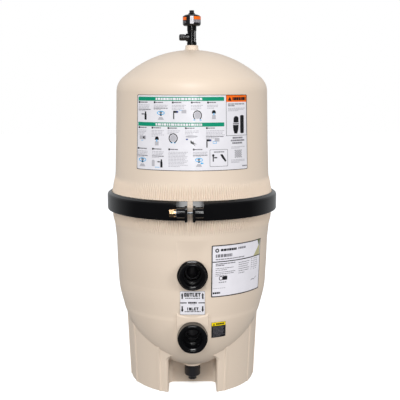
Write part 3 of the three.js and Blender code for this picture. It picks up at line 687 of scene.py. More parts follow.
def alcove_cutter():
    """The front recess: an arched room with a rounded back and rounded front edges."""
    front_y = -math.sqrt(skirt_radius(0) ** 2 - ALCOVE_HALF_WIDTH ** 2) - 1
    sections = [(EDGE_R, -260)]
    for i in range(7):
        a = math.radians(15 * i)
        sections.append((EDGE_R * (1 - math.sin(a)), front_y + EDGE_R * (1 - math.cos(a))))
    for i in range(9):
        a = math.radians(10 * i)
        y = ALCOVE_BACK_Y - ALCOVE_FILLET * (1 - math.sin(a))
        sections.append((ALCOVE_FILLET * (math.cos(a) - 1), y))
    points = [(x, y, z) for grow, y in sections for x, z in arch(grow)]
    size = len(arch(0))
    faces = grid_faces(len(sections), size, False, True)
    faces += [tuple(range(size)), tuple(range(len(points) - size, len(points)))]
    return new_object("alcove", points, faces)


def dense_bowl(outset):
    """The bowl as a closed tool, a little bigger than the tank's."""
    profile = []
    for i in range(31):
        level = 90 - 3 * i
        share = math.sin(math.radians(level))
        z = BOWL_TOP_Z - (BOWL_TOP_Z - BOWL_LOW_Z + outset) * share
        profile.append(((BOWL_R + outset) * math.sqrt(max(1 - share ** BOWL_ROUNDNESS, 0)), z))
    profile += [(BOWL_R + outset, 400), (0, 400)]

    def lean(angle, r, z):
        x, y, _ = around(angle, r, z)
        return (x, y - forward(z), z)

    return lathe(profile, 180, warp=lean)


def base_skirt():
    outside = [(skirt_radius(0) - 1.5, 0), (skirt_radius(0), 1.5)]
    outside += [(skirt_radius(z), z) for z in range(12, SKIRT_TOP_Z + 1, 12)]
    inside = [(skirt_radius(SKIRT_TOP_Z) - WALL, SKIRT_TOP_Z), (skirt_radius(0) - WALL, 0)]

    def relief(angle, r, z):
        outer = r > skirt_radius(z) - 2
        return around(angle, r + (skirt_relief(angle) if outer else 0), z)

    skirt = lathe(outside + inside, angles=skirt_angles(), warp=relief)
    half = ALCOVE_HALF_WIDTH + WALL
    liner = block(-half, half, -230, ALCOVE_BACK_Y + WALL, 0, ALCOVE_TOP_Z + 30)
    shell = lathe([(0, 0), (skirt_radius(0) - 1, 0), (skirt_radius(200) - 1, 200), (0, 200)], 240)
    join(skirt, combine(liner, shell, "INTERSECT"))
    cut(skirt, alcove_cutter(), dense_bowl(0.4))
    cut(skirt, move(rod(COLLAR_R + 1, COLLAR_Z - 4, ALCOVE_TOP_Z), 0, DRAIN_Y))
    piece(skirt, "skirt", SHELL, replaces="base_skirt", sharp=30)


# ---- Ports ----


def bulkhead(name):
    """A moulded port: a softly six-sided collar, a stepped mouth and a pipe socket."""
    z, tail_y = PORT_Z[name], PORT_TAIL_Y[name]
    seat_y = PAD_Y - 3.6
    socket_y = PORT_FACE_Y + SOCKET_DEPTH
    rim = PORT_R - PORT_TAPER[name]
    face_y = PORT_FACE_Y - PORT_REACH[name]
    section = [
        (TAIL_R, tail_y, 0), (TAIL_R, seat_y, 0), (PORT_R + 0.6, seat_y, 1.5), (PORT_R + 0.6, seat_y - 8, 2),
        (rim + 0.6, seat_y - 10.5, 1.5), (rim, face_y + 3, 3), (rim - 4, face_y, 3),
        (SOCKET_R + 5, face_y, 2), (SOCKET_R + 3.2, face_y + 3.2, 1.5),
        (SOCKET_R, face_y + 5, 1.5), (SOCKET_R, socket_y, 1.5), (PORT_BORE_R, socket_y, 1.5),
        (PORT_BORE_R, tail_y, 1),
    ]

    def lobed(angle, r, y):
        outer = smooth_step(SOCKET_R + 4, PORT_R - 4, r) if y < seat_y + 0.5 else 0.0
        return around(angle, r - PORT_LOBE_DEPTH * outer * valley(angle + 30, PORT_LOBES), y)

    port = along_y(rounded(section, 1), 0, z, 144, warp=lobed)
    piece(port, f"{name}_port", BLACK, replaces=f"{name}_bulkhead", sharp=50, weighted=False)


# ---- Drain ----


def drain():
    head_top = COLLAR_Z - 2.6
    waist_r = DRAIN_R - 1.2
    section = [
        (0, 31), (12.5, 31, 0.8), (24.2, 38, 1.5), (DRAIN_R, 41, 1), (DRAIN_R, head_top - 6, 1),
        (waist_r, head_top - 5, 0.5), (waist_r, head_top - 3.5, 0.5), (DRAIN_R, head_top - 2.6, 0.5),
        (DRAIN_R, head_top, 1),
        (DRAIN_BORE_R - 0.5, head_top), (DRAIN_BORE_R - 0.5, COLLAR_Z + 16), (0, COLLAR_Z + 16),
    ]

    def fluted(angle, r, z):
        grip = smooth_step(40, 43, z) * (1 - smooth_step(head_top - 9, head_top - 6, z)) if r > 20 else 0
        return around(angle, r - 0.9 * grip * valley(angle, 18) ** 2, z)

    plug = lathe(rounded(section, 0.4, closed=False), 216, warp=fluted)
    hexagon = arc(0, 0, 13, 0, 300, 5)
    key = bevel(prism(rounded(hexagon, 1.2), 22.5, 33), 0.7, 2)
    piece(move(join(plug, key), 0, DRAIN_Y), "drain_cap", MATT_BLACK, "drain_plug", replaces="drain_plug")


# ---- Clamp ----


def band_section(outer_r, high):
    low = BAND_Z[0]
    return rounded([
        (LOWER_JAW_R, low + 0.5, 0.8), (LOWER_JAW_R + 3, low, 1), (outer_r - 1, low, 2),
        (outer_r, low + 4, 2), (outer_r, high - 3.5, 2.5), (outer_r - 2, high + 1, 2),
        (UPPER_JAW_R + 2, BAND_LIP_Z, 1.2), (UPPER_JAW_R, BAND_LIP_Z - 1.6, 0.8),
        (UPPER_JAW_R, 604.6, 0.5), (JAW_SPACE_R, 601, 0.8),
        (JAW_SPACE_R, 573.6, 0.8), (LOWER_JAW_R, 569.4, 0.5),
    ], 0.8)


def web_section():
    low, high = BAND_Z
    return rounded([(JAW_SPACE_R, low), (BAND_R, low), (BAND_R, high), (JAW_SPACE_R, high)], 1.5)


def hinge_arm(side, low, high):
    eye = move(rod(KNUCKLE_R, low, high, 64, (1.2, 1.2)), side * PIN_X, PIN_Y)
    corners = ((PIN_X, PIN_Y - 11), (44, 266.5), (46, 269), (PIN_X + 4, PIN_Y + 12.3))
    outline = [(side * x, y) for x, y in corners]
    return join(eye, bevel(prism(outline, low, high), 0.8, 2))


def lug(side):
    """An end plate and the sleeve behind it that the bolt runs through."""
    front_y, (low_z, high_z) = -CLAMP_REACH_Y, EAR_Z
    gap_x = GAP_CENTRE_X + side * GAP_HALF
    ends = sorted((gap_x, gap_x + side * EAR_THICK))
    corners = [(front_y, low_z, 4), (EAR_BACK_Y, low_z), (EAR_BACK_Y, high_z), (front_y, high_z, 6)]
    outline = rounded(corners, 2)
    plate = bevel(prism(outline, *ends, "X"), 1, 2)
    low, high = sorted((gap_x + side * 2, gap_x + side * (EAR_THICK + LUG_LENGTH)))
    sleeve = x_rod(LUG_R, low, high, BOLT_Y, BOLT_Z, edges=(1, 1))
    web = bevel(block(low, high, front_y + 12, EAR_BACK_Y, BOLT_Z - 3, BOLT_Z + 3), 0.6, 2)
    return join(plate, sleeve, web)


def clamp_half(side):
    """One half of the band. Its outer face stops short of the lug, where the band is thinner."""
    gap_x = GAP_CENTRE_X + side * GAP_HALF
    face_x = gap_x + side * (EAR_THICK + LUG_LENGTH + 0.6)
    gap_angle = math.degrees(math.asin(gap_x / (BAND_R - 8)))
    face_angle = math.degrees(math.asin(face_x / BAND_R))
    rear, web = side * (180 - JAW_START), side * (180 - WEB_START)
    thin_section = band_section(BAND_R - THIN_INSET, BAND_Z[1] - THIN_DROP)
    half = sweep(band_section(BAND_R, BAND_Z[1]), face_angle, rear, 150)
    thin = sweep(thin_section, gap_angle, face_angle + side * 0.6, 10)
    join(half, thin, sweep(web_section(), rear - side * 0.6, web, 4))
    arms = join(*[hinge_arm(side, low, high) for low, high in HINGE_ARMS_Z])
    for part in (arms, lug(side)):
        join(half, cut(part, rod(JAW_SPACE_R, 540, 640, 240)))
    cut(half, move(rod(PIN_R + 0.25, 550, 620, 40), side * PIN_X, PIN_Y))
    if side < 0:
        return cut(half, x_rod(8.2, -80, 0, BOLT_Y, BOLT_Z, 48))
    bore = x_rod(BOLT_R + 0.5, -10, 20, BOLT_Y, BOLT_Z, 48)
    pocket = x_rod(10.4, 17, 42, BOLT_Y, BOLT_Z, 48)
    return cut(half, bore, pocket)


def clamp():
    for side, name in SIDES:
        piece(clamp_half(side), f"clamp_band_{name}", BLACK, f"clamp_{name}", replaces=f"clamp_{name}_half")
    outline = arc(PIN_X, PIN_Y, 10, -90, 90, 16) + arc(-PIN_X, PIN_Y, 10, 90, 270, 16)
    link = bevel(prism(outline, *LINK_Z), 1.2)
    for x in (-PIN_X, PIN_X):
        cut(link, move(rod(PIN_R + 0.3, 560, 610, 40), x, PIN_Y))
    piece(link, "rear_link", BLACK, replaces="clamp_rear_link")
    head_r, head_low, head_top = PIN_R + 2, 608.4, 611
    for side, name in SIDES:
        pin = rounded([(0, 562), (PIN_R, 562, 0.8), (PIN_R, head_low), (head_r, head_low, 0.3),
                       (head_r, head_top, 1.2), (0, head_top)], 0, closed=False)
        pin = move(lathe(pin, 48), side * PIN_X, PIN_Y)
        piece(pin, f"hinge_pin_{name}", STEEL, replaces=f"clamp_pin_{name}")


def thread(r, low, high, pitch):
    """The outline of a threaded stretch: one crest and one root for each pitch."""
    count = int((high - low) / pitch)
    points = []
    for i in range(count):
        start = low + pitch * i
        points += [(r - 0.55, start), (r, start + 0.4 * pitch), (r, start + 0.6 * pitch)]
    return points + [(r - 0.55, low + pitch * count)]


def hex_solid(r, low, high, chamfer):
    """A hexagonal nut or head round the bolt with its corners turned off."""
    body = prism(arc(BOLT_Y, BOLT_Z, r, 0, 300, 5), low, high, "X")
    turned = [(0, low), (r - chamfer, low), (r + 0.2, low + chamfer), (r + 0.2, high - chamfer),
              (r - chamfer, high), (0, high)]
    return combine(body, along_x(turned, BOLT_Y, BOLT_Z), "INTERSECT")


def fasteners():
    shank = [(0, -58), (BOLT_R - 1.2, -58)] + thread(BOLT_R, -57.5, 17.4, THREAD_PITCH) + [(0, 18)]
    bolt = along_x(shank, BOLT_Y, BOLT_Z, 48)
    join(bolt, bevel(hex_solid(9.6, 17.3, 26, 1.4), 0.3, 2))
    piece(bolt, "t_bolt", STEEL, "clamp_right", replaces="clamp_bolt")
    washer = rounded([(6, -48.1), (11.2, -48.1), (11.2, -46.4), (6, -46.4)], 0.35, steps=2)
    washer = along_x(washer, BOLT_Y, BOLT_Z)
    piece(washer, "flat_washer", STEEL, "clamp_washer", replaces="clamp_washer")
    nut = join(hex_solid(12.6, -67.1, -53, 1.6), x_rod(11.6, -54, -48.4, BOLT_Y, BOLT_Z, edges=(0, 0.6)))
    cut(nut, x_rod(6, -80, -40, BOLT_Y, BOLT_Z, 48))
    piece(bevel(nut, 0.35, 2), "brass_nut", BRASS, "clamp_nut", replaces="clamp_nut")


# ---- Air-relief valve ----


def valve_body():
    seat = NECK_TOP_Z + 2.6
    plug_r = NECK_BORE_R - 0.4
    section = [
        (VALVE_BORE_R, 1052), (plug_r, 1052), (plug_r, seat), (15.4, seat, 0.8),
        (15.4, 1084, 1.5), (13.8, 1088, 1.5), (13.8, 1094), (14.4, 1094.6, 0.3), (14.4, 1096.5, 0.3),
        (13.8, 1097), (13.8, 1120, 1), (14.9, 1122.5, 0.8), (14.9, 1136, 0.8), (VALVE_BORE_R, 1136),
    ]
    body = lathe(rounded(section, 0.4), 96)
    boss = x_rod(12, -19.4, -8.5, 0, ARM_Z, edges=(1.5, 0))
    arm = x_rod(8.4, -29, -8.5, 0, ARM_Z, edges=(0.6, 0))
    gusset = bevel(prism([(-26, ARM_Z - 6), (-12, ARM_Z - 6), (-12, 1086)], -3, 3, "Y"), 0.6, 2)
    spine = bevel(block(5.5, 12, -15.4, -9, 1086, 1121), 0.8, 2)
    join(body, boss, arm, gusset, spine)
    cut(body, rod(VALVE_BORE_R, 1085, 1120), x_rod(4.8, -40, -2, 0, ARM_Z, 48))
    piece(body, "relief_valve", BLACK, replaces="valve_body")


def vent_cover():
    """The cap over the vent arm: a fluted skirt round the arm and a stem in its bore."""
    rim, seat = -22.4, -30.9
    cap = [(0, -40), (7, -40, 2), (10, -37.5, 2), (10.2, rim, 0.8), (8.75, rim, 0.2), (8.75, seat),
           (4.5, seat), (4.5, -22), (0, -22)]

    def fluted(angle, r, z):
        return around(angle, r - (0.35 * valley(angle, 20) if r > 9 else 0), z)

    cover = along_x(rounded(cap, 0.2, closed=False), 0, ARM_Z, 120, warp=fluted)
    piece(cover, "vent_cover", BLACK, "vent_cap", replaces="vent_cap")


def valve_knob():
    low, high = KNOB_Z
    dome = [
        (0, low), (16, low, 0.5), (16, low - 4, 0.5), (KNOB_R - 3, low - 4, 2), (KNOB_R, low - 0.5, 3),
        (KNOB_R, high - 3, 2), (KNOB_R - 2, high, 2), (KNOB_R - 8, high + 2.8, 2), (12.4, high + 4.2, 1.5),
        (9.4, high + 8, 0.8), (0, high + 8),
    ]
    knob = cut(lathe(rounded(dome, 0.5, closed=False), 160), rod(5.4, high - 4, high + 10, 40))
    piece(knob, "indicator_knob", BLACK, "valve_knob", replaces="valve_knob")
    base = high + 8.3
    stub = rod(5, high - 3.6, base + 1, 40)
    head = bevel(prism(rounded(arc(0, 0, 7.5, 0, 315, 7), 1), base, PLUG_TOP_Z), 0.6, 2)
    piece(join(stub, head), "top_plug", MATT_BLACK, "valve_knob", replaces="gauge_port_plug")


# ---- Labels ----

FILM = (0.3, 0.9)
INK = (0.8, 1.1)


class Label:
    """Flat shapes on a label, in millimetres across and down from its top left corner, gathered by ink
    and layer. Layers below 0 are the film itself. place(x, y, out) bends them onto the surface."""

    def __init__(self, name, width, height, place, columns, rows, body="housing"):
        self.name = name
        self.width = width
        self.height = height
        self.place = place
        self.columns = columns
        self.rows = rows
        self.body = body
        self.shapes = {}

    def poly(self, ink, points, layer=0):
        outline = [(x - self.width / 2, self.height / 2 - y) for x, y in points]
        self.shapes.setdefault((ink, layer), []).append(outline)

    def bar(self, ink, left, right, top, bottom, layer=0, radius=0.0):
        corners = [(left, bottom), (right, bottom), (right, top), (left, top)]
        self.poly(ink, rounded(corners, radius, steps=3) if radius else corners, layer)

    def disc(self, ink, x, y, width, height=None, layer=0):
        height = height or width
        turns = [math.radians(20 * i) for i in range(18)]
        self.poly(ink, [(x + width / 2 * math.cos(t), y + height / 2 * math.sin(t)) for t in turns], layer)

    def ring(self, ink, x, y, width, height, thick, start=0, end=360):
        """An oval band between two angles measured from straight up."""
        steps = round((end - start) / 15)
        turns = [math.radians(start + (end - start) * i / steps) for i in range(steps + 1)]
        for a, b in zip(turns, turns[1:]):
            points = []
            for t, inset in ((a, 0), (b, 0), (b, thick), (a, thick)):
                points.append((x + (width / 2 - inset) * math.sin(t), y - (height / 2 - inset) * math.cos(t)))
            self.poly(ink, points)

    def dome(self, ink, x, top, width, height):
        """A rounded top on a straight foot."""
        foot = [(x + width / 2, top + height), (x - width / 2, top + height)]
        self.poly(ink, foot + arc(x, top + width / 2, width / 2, 180, 360, 10))

    def frame(self, ink, left, right, top, bottom, thick):
        self.bar(ink, left, right, top, top + thick)
        self.bar(ink, left, right, bottom - thick, bottom)
        self.bar(ink, left, left + thick, top + thick, bottom - thick)
        self.bar(ink, right - thick, right, top + thick, bottom - thick)

    def words(self, ink, left, right, top, height, seed, layer=0, word=5.0, gap=1.4):
        """A row of dashes of uneven length that stands for a line of print."""
        draw = random.Random(seed)
        at = left
        while at < right - word * 0.4:
            end = min(at + word * draw.uniform(0.5, 1.6), right)
            self.bar(ink, at, end, top, top + height, layer)
            at = end + gap

    def lines(self, ink, left, right, top, pitch, height, count, word=5.0):
        for i in range(count):
            short = (right - left) * (0.4 if i == count - 1 and count > 1 else 0.07 * (i % 3))
            seed = round(left * 7 + top + 13 * i)
            self.words(ink, left, right - short, top + pitch * i, height, seed, word=word)

    def make(self, replaced):
        """One closed piece for each ink and layer."""
        for (ink, layer), outlines in self.shapes.items():
            film = layer < 0
            low, high = (FILM[0], FILM[1] + 0.05 * layer) if film else (INK[0], INK[1] + 0.15 * layer)
            obj = printed(outlines, self.place, self.columns, self.rows, low, high)
            name = f"{self.name}_{ink}_" + ("film" if film else f"ink_{layer}")
            piece(obj, name, PRINT[ink], self.body, replaces=replaced, weighted=False)
            replaced = ""


def printed(outlines, place, columns, rows, low, high):
    """Thin closed prisms on a surface. The outlines are first split at the given x and y values so
    that they follow its curve."""
    sheet = bmesh.new()
    for outline in outlines:
        sheet.faces.new([sheet.verts.new((x, y, 0)) for x, y in outline])
    for values, normal in ((columns, (1, 0, 0)), (rows, (0, 1, 0))):
        for value in values:
            everything = sheet.verts[:] + sheet.edges[:] + sheet.faces[:]
            spot = tuple(value * n for n in normal)
            bmesh.ops.bisect_plane(sheet, geom=everything, dist=1e-5, plane_co=spot, plane_no=normal)
    bmesh.ops.remove_doubles(sheet, verts=sheet.verts[:], dist=1e-4)
    sheet.verts.index_update()
    flat = [(v.co.x, v.co.y) for v in sheet.verts]
    size = len(flat)
    points = [place(x, y, low) for x, y in flat] + [place(x, y, high) for x, y in flat]
    faces = []
    for face in sheet.faces:
        corners = [v.index for v in face.verts]
        faces.append(tuple(reversed(corners)))
        faces.append(tuple(size + i for i in corners))
    for edge in sheet.edges:
        if len(edge.link_faces) == 1:
            a, b = (v.index for v in edge.verts)
            faces.append((a, b, size + b, size + a))
    sheet.free()
    return new_object("print", points, faces)


def spaced(size, count):
    """Even cuts across a length centred on 0."""
    return [size * (i / count - 0.5) for i in range(1, count)]


def side_valve(label, x, top):
    """Pictogram: an upright pipe with a short side arm."""
    label.bar("dark", x - 3.4, x + 3.4, top + 7, top + 24, radius=1)
    label.bar("dark", x - 2.2, x + 2.2, top, top + 8, radius=1)
    label.bar("grey", x - 14, x - 2, top + 6, top + 9)
    label.disc("dark", x - 9, top + 7.5, 4)


def turned_valve(label, x, y):
    """Pictogram: a knob with a turning arrow round it, over the crown."""
    label.ring("cyan", x, y, 25, 12, 2.2)
    label.disc("grey", x, y - 1.5, 8)
    label.disc("dark", x, y + 5.5, 6.5)
    label.poly("pale", [(x - 10, y + 20), (x - 5, y + 12), (x + 5, y + 12), (x + 10, y + 20)])


def ring_clamp(label, x, y, gap):
    """Pictogram: the band clamp seen from above."""
    label.ring("dark", x, y, 29, 29, 3, gap - 180, 180 - gap)
    label.disc("pale", x, y, 20)
    for side in (-1, 1):
        middle = x + side * gap * 0.3
        label.bar("cyan", middle - 3, middle + 3, y + 12.4, y + 14.6)


def capped_rod(label, x, top):
    """Pictogram: a cap over a column."""
    label.dome("dark", x, top, 12.4, 9.6)
    label.bar("pale", x - 5.8, x + 5.8, top + 14, top + 26)
    label.bar("cyan", x - 1.3, x + 1.3, top + 8, top + 15, layer=1)


def driver(label, x, top):
    """Pictogram: a wrench on a bolt."""
    label.bar("dark", x, x + 11, top, top + 6)
    label.bar("dark", x, x + 3.4, top + 6, top + 24)
    label.bar("blue", x + 11, x + 16, top + 0.3, top + 5.7)
    label.bar("pale", x + 27, x + 42, top - 3, top + 7)


def steps_of(label, top, starts, widths, counts, dark=()):
    """Step headings with their lines of print below."""
    for i, (left, width, count) in enumerate(zip(starts, widths, counts)):
        label.bar("dark", left, left + 5.2, top - 2.7, top + 2.7, radius=0.8)
        label.words("grey", left + 6, left + min(width, 30), top - 1.5, 3, i, word=9, gap=0.8)
        label.lines("pale", left, left + width, top + 7, 4.2, 1.9, count, word=6)
        if i in dark:
            label.words("grey", left, left + width, top + 7 + 4.2 * (count - 2), 2.4, i, layer=1, word=8)


def lid_label():
    """Its positions across are those seen from the front, spread over 85 degrees of the lid."""
    width, height, middle, half_angle = 360, 221, 814.5, 42.5

    def place(x, y, out):
        z = middle + y
        side = x / (width / 2) * math.sin(math.radians(half_angle))
        return around(math.degrees(math.asin(side)), along(LID_WALL, z) + out, z)

    label = Label("lid_label", width, height, place, spaced(width, 60), spaced(height, 6))
    label.bar("dark", 0, width, 0, height, layer=-2, radius=4)
    label.bar("white", 1.5, width - 1.5, 1.5, height - 1.5, layer=-1, radius=4)
    for top, seed in ((6, 3), (80, 8)):
        label.bar("green", 4, 283, top, top + 11.6)
        label.words("white", 62, 212, top + 2.6, 6.6, seed, layer=1, word=7, gap=1.8)
    steps_of(label, 22, (5, 56, 115, 176, 228), (40, 45, 45, 38, 37), (5, 4, 4, 4, 3), dark=(0, 1))
    side_valve(label, 28.5, 49)
    turned_valve(label, 79, 52.5)
    driver(label, 119, 46)
    label.bar("cyan", 138, 149, 43.4, 44.8)
    ring_clamp(label, 196.6, 59, 34)
    capped_rod(label, 249.5, 44)
    steps_of(label, 96, (5, 49, 101, 157, 224), (27, 40, 40, 46, 61), (4, 5, 3, 3, 6), dark=(4,))
    label.bar("pale", 9, 30, 120, 131)
    label.poly("dark", [(25.5, 121.5), (25.5, 130), (20, 127), (20, 124)], layer=1)
    label.bar("cyan", 14.5, 21, 133.4, 134.8)
    capped_rod(label, 66.2, 121.6)
    ring_clamp(label, 119, 125.4, 16)
    label.disc("pale", 178, 120, 39, 7)
    label.disc("blue", 163, 128.5, 7, 4.6)
    label.poly("dark", [(174, 132), (177, 132), (180, 137), (183, 133), (185, 139), (195, 143), (186, 142),
                        (190, 148), (182, 143), (175, 140)])
    driver(label, 225, 128.5)
    label.frame("cyan", 246, 258, 134.6, 141.6, 1.1)
    steps_of(label, 158, (3, 51, 104, 182), (35, 38, 62, 46), (5, 5, 11, 4), dark=(0, 1, 3))
    turned_valve(label, 19.3, 191.5)
    label.dome("pale", 55, 190, 9, 19)
    side_valve(label, 81.5, 188)
    label.bar("cyan", 61, 75, 211, 212.4)
    turned_valve(label, 201, 188.5)
    arrow = [(205, 198), (211, 195), (211, 197), (215, 197), (215, 200), (211, 200), (211, 202)]
    label.poly("cyan", arrow, layer=1)
    label.bar("grey", 235.5, 294, 158.5, 209, radius=3)
    label.bar("white", 236.8, 292.7, 159.8, 207.7, layer=1, radius=3)
    label.words("grey", 249, 282, 164.5, 3.2, 4, layer=2, word=8)
    label.disc("dark", 246.6, 176, 7.5, layer=2)
    label.bar("dark", 244.9, 248.3, 178, 194, layer=2)
    label.bar("dark", 249.5, 259, 181, 184.4, layer=2)
    label.poly("dark", [(269.5, 174), (276, 172.5), (289, 192), (285.5, 195.5), (275, 184)], layer=2)
    label.lines("pale", 242, 262, 199, 3.4, 1.6, 2)
    label.lines("pale", 271, 288, 199, 3.4, 1.6, 2)
    warning_column(label)
    label.make("lid_label")


def warning_column(label):
    """The right-hand column: an orange header, a generic pictogram panel and a chequered mark."""
    label.frame("dark", 289.4, 358.9, 1.1, 120, 1)
    label.bar("orange", 290.4, 357.9, 2.1, 21)
    label.poly("dark", [(295.4, 17.4), (301.6, 5.8), (307.8, 17.4)], layer=1)
    label.words("dark", 311, 355, 7.4, 9.2, 21, layer=1, word=5.6, gap=1.0)
    label.words("grey", 296, 351, 25.6, 3, 11, word=9)
    label.words("grey", 296, 321, 30.6, 3, 12, word=9)
    label.lines("pale", 296, 353, 38.6, 3.6, 2, 3)
    label.dome("dark", 322.4, 62.5, 16.6, 18.8)
    label.bar("grey", 312.4, 332.4, 83, 87)
    label.poly("dark", [(312, 88.6), (331, 88.6), (329.5, 103), (326, 113.6), (317, 113.6), (313.4, 103)])
    label.bar("dark", 336.5, 348.5, 60, 113.6, radius=4)
    for top, half in ((124, 16.5), (131.6, 22.5), (139.2, 18)):
        label.words("grey", 327 - half, 327 + half, top, 4.8, round(top), word=5, gap=1)
    label.lines("pale", 306, 353, 152, 3.8, 2, 2)
    for row in range(7):
        for column in range(7):
            if (row + column) % 2 == 0:
                left, top = 317 + 3.3 * column, 162 + 3.3 * row
                label.bar("grey", left, left + 3.3, top, top + 3.3)
    label.lines("pale", 305, 353, 190.5, 3.8, 2, 3)
    label.words("grey", 342, 357, 208.6, 3.6, 5, word=4, gap=0.8)


def nameplate():
    width, height, middle, start = 199.5, 161, 399.6, 13.5

    def place(x, y, out):
        angle = start + math.degrees((x + width / 2) / 247)
        return on_tank(angle, middle + y, out)

    label = Label("nameplate", width, height, place, spaced(width, 32), spaced(height, 10))
    label.bar("dark", 0, width, 0, height, layer=-2, radius=3)
    label.bar("plate", 3, width - 3, 3, height - 3, layer=-1, radius=3)
    label.bar("dark", 2, width - 2, 50, 52.8)
    label.ring("dark", 17.5, 16.5, 12.5, 12.5, 3.4)
    label.words("dark", 29, 84, 12.4, 7, 2, word=5.4, gap=1.2)
    label.words("grey", 90, 120, 12, 6.4, 3, word=6, gap=2)
    label.words("grey", 13, 68, 28.6, 9.4, 14, word=6.4, gap=2)
    label.words("grey", 13, 119, 42.6, 3, 7, word=9)
    label.poly("khaki", [(188, 19), (193.7, 22), (193.7, 50), (159, 50)])
    label.poly("olive", [(178, 2), (193.7, 2), (193.7, 22), (188, 19)])
    label.words("grey", 13, 80, 56.6, 3, 17, word=9)
    label.words("grey", 13, 44, 61.6, 3, 18, word=9)
    label.lines("grey", 13, 74, 71, 5.4, 2, 2)
    label.lines("grey", 13, 80, 83, 5.4, 2, 3)
    label.lines("grey", 93, 139, 60, 6.6, 2, 6)
    for left in (147, 160, 172):
        label.lines("grey", left, left + 9, 57, 6.4, 2, 6, word=4)
    label.ring("dark", 31, 103, 13.6, 13.6, 2)
    label.bar("dark", 37, 52, 97, 109)
    label.words("grey", 24, 51, 114.6, 2.6, 4, word=7)
    label.words("pale", 5, 46, 133, 1.8, 19)
    label.words("dark", 4.6, 30, 145.6, 5.4, 6, word=4, gap=1)
    ripple = [(147, 127), (156, 122), (166, 124), (180, 117), (180, 118.4), (166, 126), (156, 124.4)]
    label.poly("grey", ripple)
    label.make("nameplate")


def capital(label, letter, left, top, width, height, thick):
    """One block capital of the port names."""
    right, bottom = left + width, top + height
    bars = {
        "left": (left, left + thick, top, bottom), "right": (right - thick, right, top, bottom),
        "top": (left, right, top, top + thick), "bottom": (left, right, bottom - thick, bottom),
        "middle": (left, right - thick * 0.4, top + (height - thick) / 2, top + (height + thick) / 2),
        "stem": (left + (width - thick) / 2, left + (width + thick) / 2, top, bottom),
    }
    strokes = {
        "O": ["left", "right", "top", "bottom"], "U": ["left", "right", "bottom"], "T": ["top", "stem"],
        "L": ["left", "bottom"], "E": ["left", "top", "middle", "bottom"], "I": ["stem"],
        "N": ["left", "right"],
    }
    for layer, stroke in enumerate(strokes[letter]):
        label.bar("dark", *bars[stroke], layer=layer // 2)
    if letter == "N":
        slope = [(left, top), (left + thick, top), (right, bottom), (right - thick, bottom)]
        label.poly("dark", slope, layer=1)


def port_label():
    width, height, middle = 75.2, 73, 303.5

    def place(x, y, out):
        return (x, PAD_Y - out, middle + y)

    label = Label("port_label", width, height, place, [], [])
    label.bar("grey", 0, width, 0, height, layer=-2, radius=3)
    label.bar("white", 0.6, width - 0.6, 0.6, height - 0.6, layer=-1, radius=3)
    for x in (6.6, 68.4):
        label.poly("dark", [(x - 4, 13), (x, 5), (x + 4, 13)])
        label.bar("dark", x - 2.1, x + 2.1, 13, 24)
        label.poly("dark", [(x - 4, 57), (x + 4, 57), (x, 65)])
        label.bar("dark", x - 2.1, x + 2.1, 46.5, 57)
    for i, letter in enumerate("OUTLET"):
        capital(label, letter, 12.6 + 8.4 * i, 5.4, 7.2, 11.4, 3)
    label.words("dark", 16, 60, 20.4, 2.6, 4)
    label.bar("dark", 0.6, 20, 34.6, 37.6)
    label.bar("dark", 55.4, 74.6, 34.6, 37.6)
    label.words("dark", 24.4, 51.4, 33.2, 5.2, 9, word=5, gap=0.8)
    label.words("pale", 30, 46, 41, 1.8, 2)
    for i, letter in enumerate("INLET"):
        capital(label, letter, 19.8 + 7.4 * i, 50.4, 6.2, 9.4, 2.5)
    label.words("dark", 14, 62, 62, 2.4, 8)
    label.make("port_label")


def caution_label():
    width, height, left, low = 43.5, 50, 57.5, 189

    def place(x, y, out):
        z = low + height / 2 + y
        across = left + width / 2 + x
        return on_tank(math.degrees(math.asin(across / tank_radius(z))), z, out)

    label = Label("caution_label", width, height, place, spaced(width, 6), spaced(height, 14))
    label.bar("dark", 0, width, 0, height, layer=-2, radius=2)
    label.bar("yellow", 0.6, width - 0.6, 0.6, 11.4, radius=1.4)
    label.poly("dark", [(4, 9.6), (7.4, 3), (10.8, 9.6)], layer=1)
    label.words("dark", 14, 40, 3.6, 5.2, 5, layer=1, word=4, gap=1)
    label.lines("grey", 4, 40, 15, 4.3, 1.3, 8, word=4)
    label.make("caution_label")


def knob_label():
    radius = KNOB_R + 0.1
    width, height, middle = 87, 25, 1153.4

    def place(x, y, out):
        return around(math.degrees(x / KNOB_R), radius + out - FILM[0], middle + y)

    label = Label("knob_label", width, height, place, spaced(width, 36), [], body="valve_knob")
    label.bar("dark", 0, width, 0, height, layer=-2)
    label.bar("white", 38.4, 49, 0, height - 1)
    label.bar("pale", 42.4, 45, 5, height - 4, layer=1)
    label.bar("orange", 50, 86, 1, 10.4)
    label.bar("grey", 50, 86, 10.8, 20)
    label.lines("pale", 52, 84, 12, 2.8, 1.6, 3, word=3)
    label.bar("orange", 5, 25.6, 3, 12.4)
    label.lines("grey", 5, 25.6, 15, 3.2, 2, 3)
    label.make("knob_label")


# ---- Stage, light and camera: the places of lights and camera are in metres ----

# Strength of the surroundings: in front, in front as reflections see them, behind, and
# below as a share of above.
FRONT_FILL = 0.4
GLOSS_FILL = 0.1
BACK_FILL = 0.7
BELOW_FILL = 0.6
FLOOR_HALF = 12000


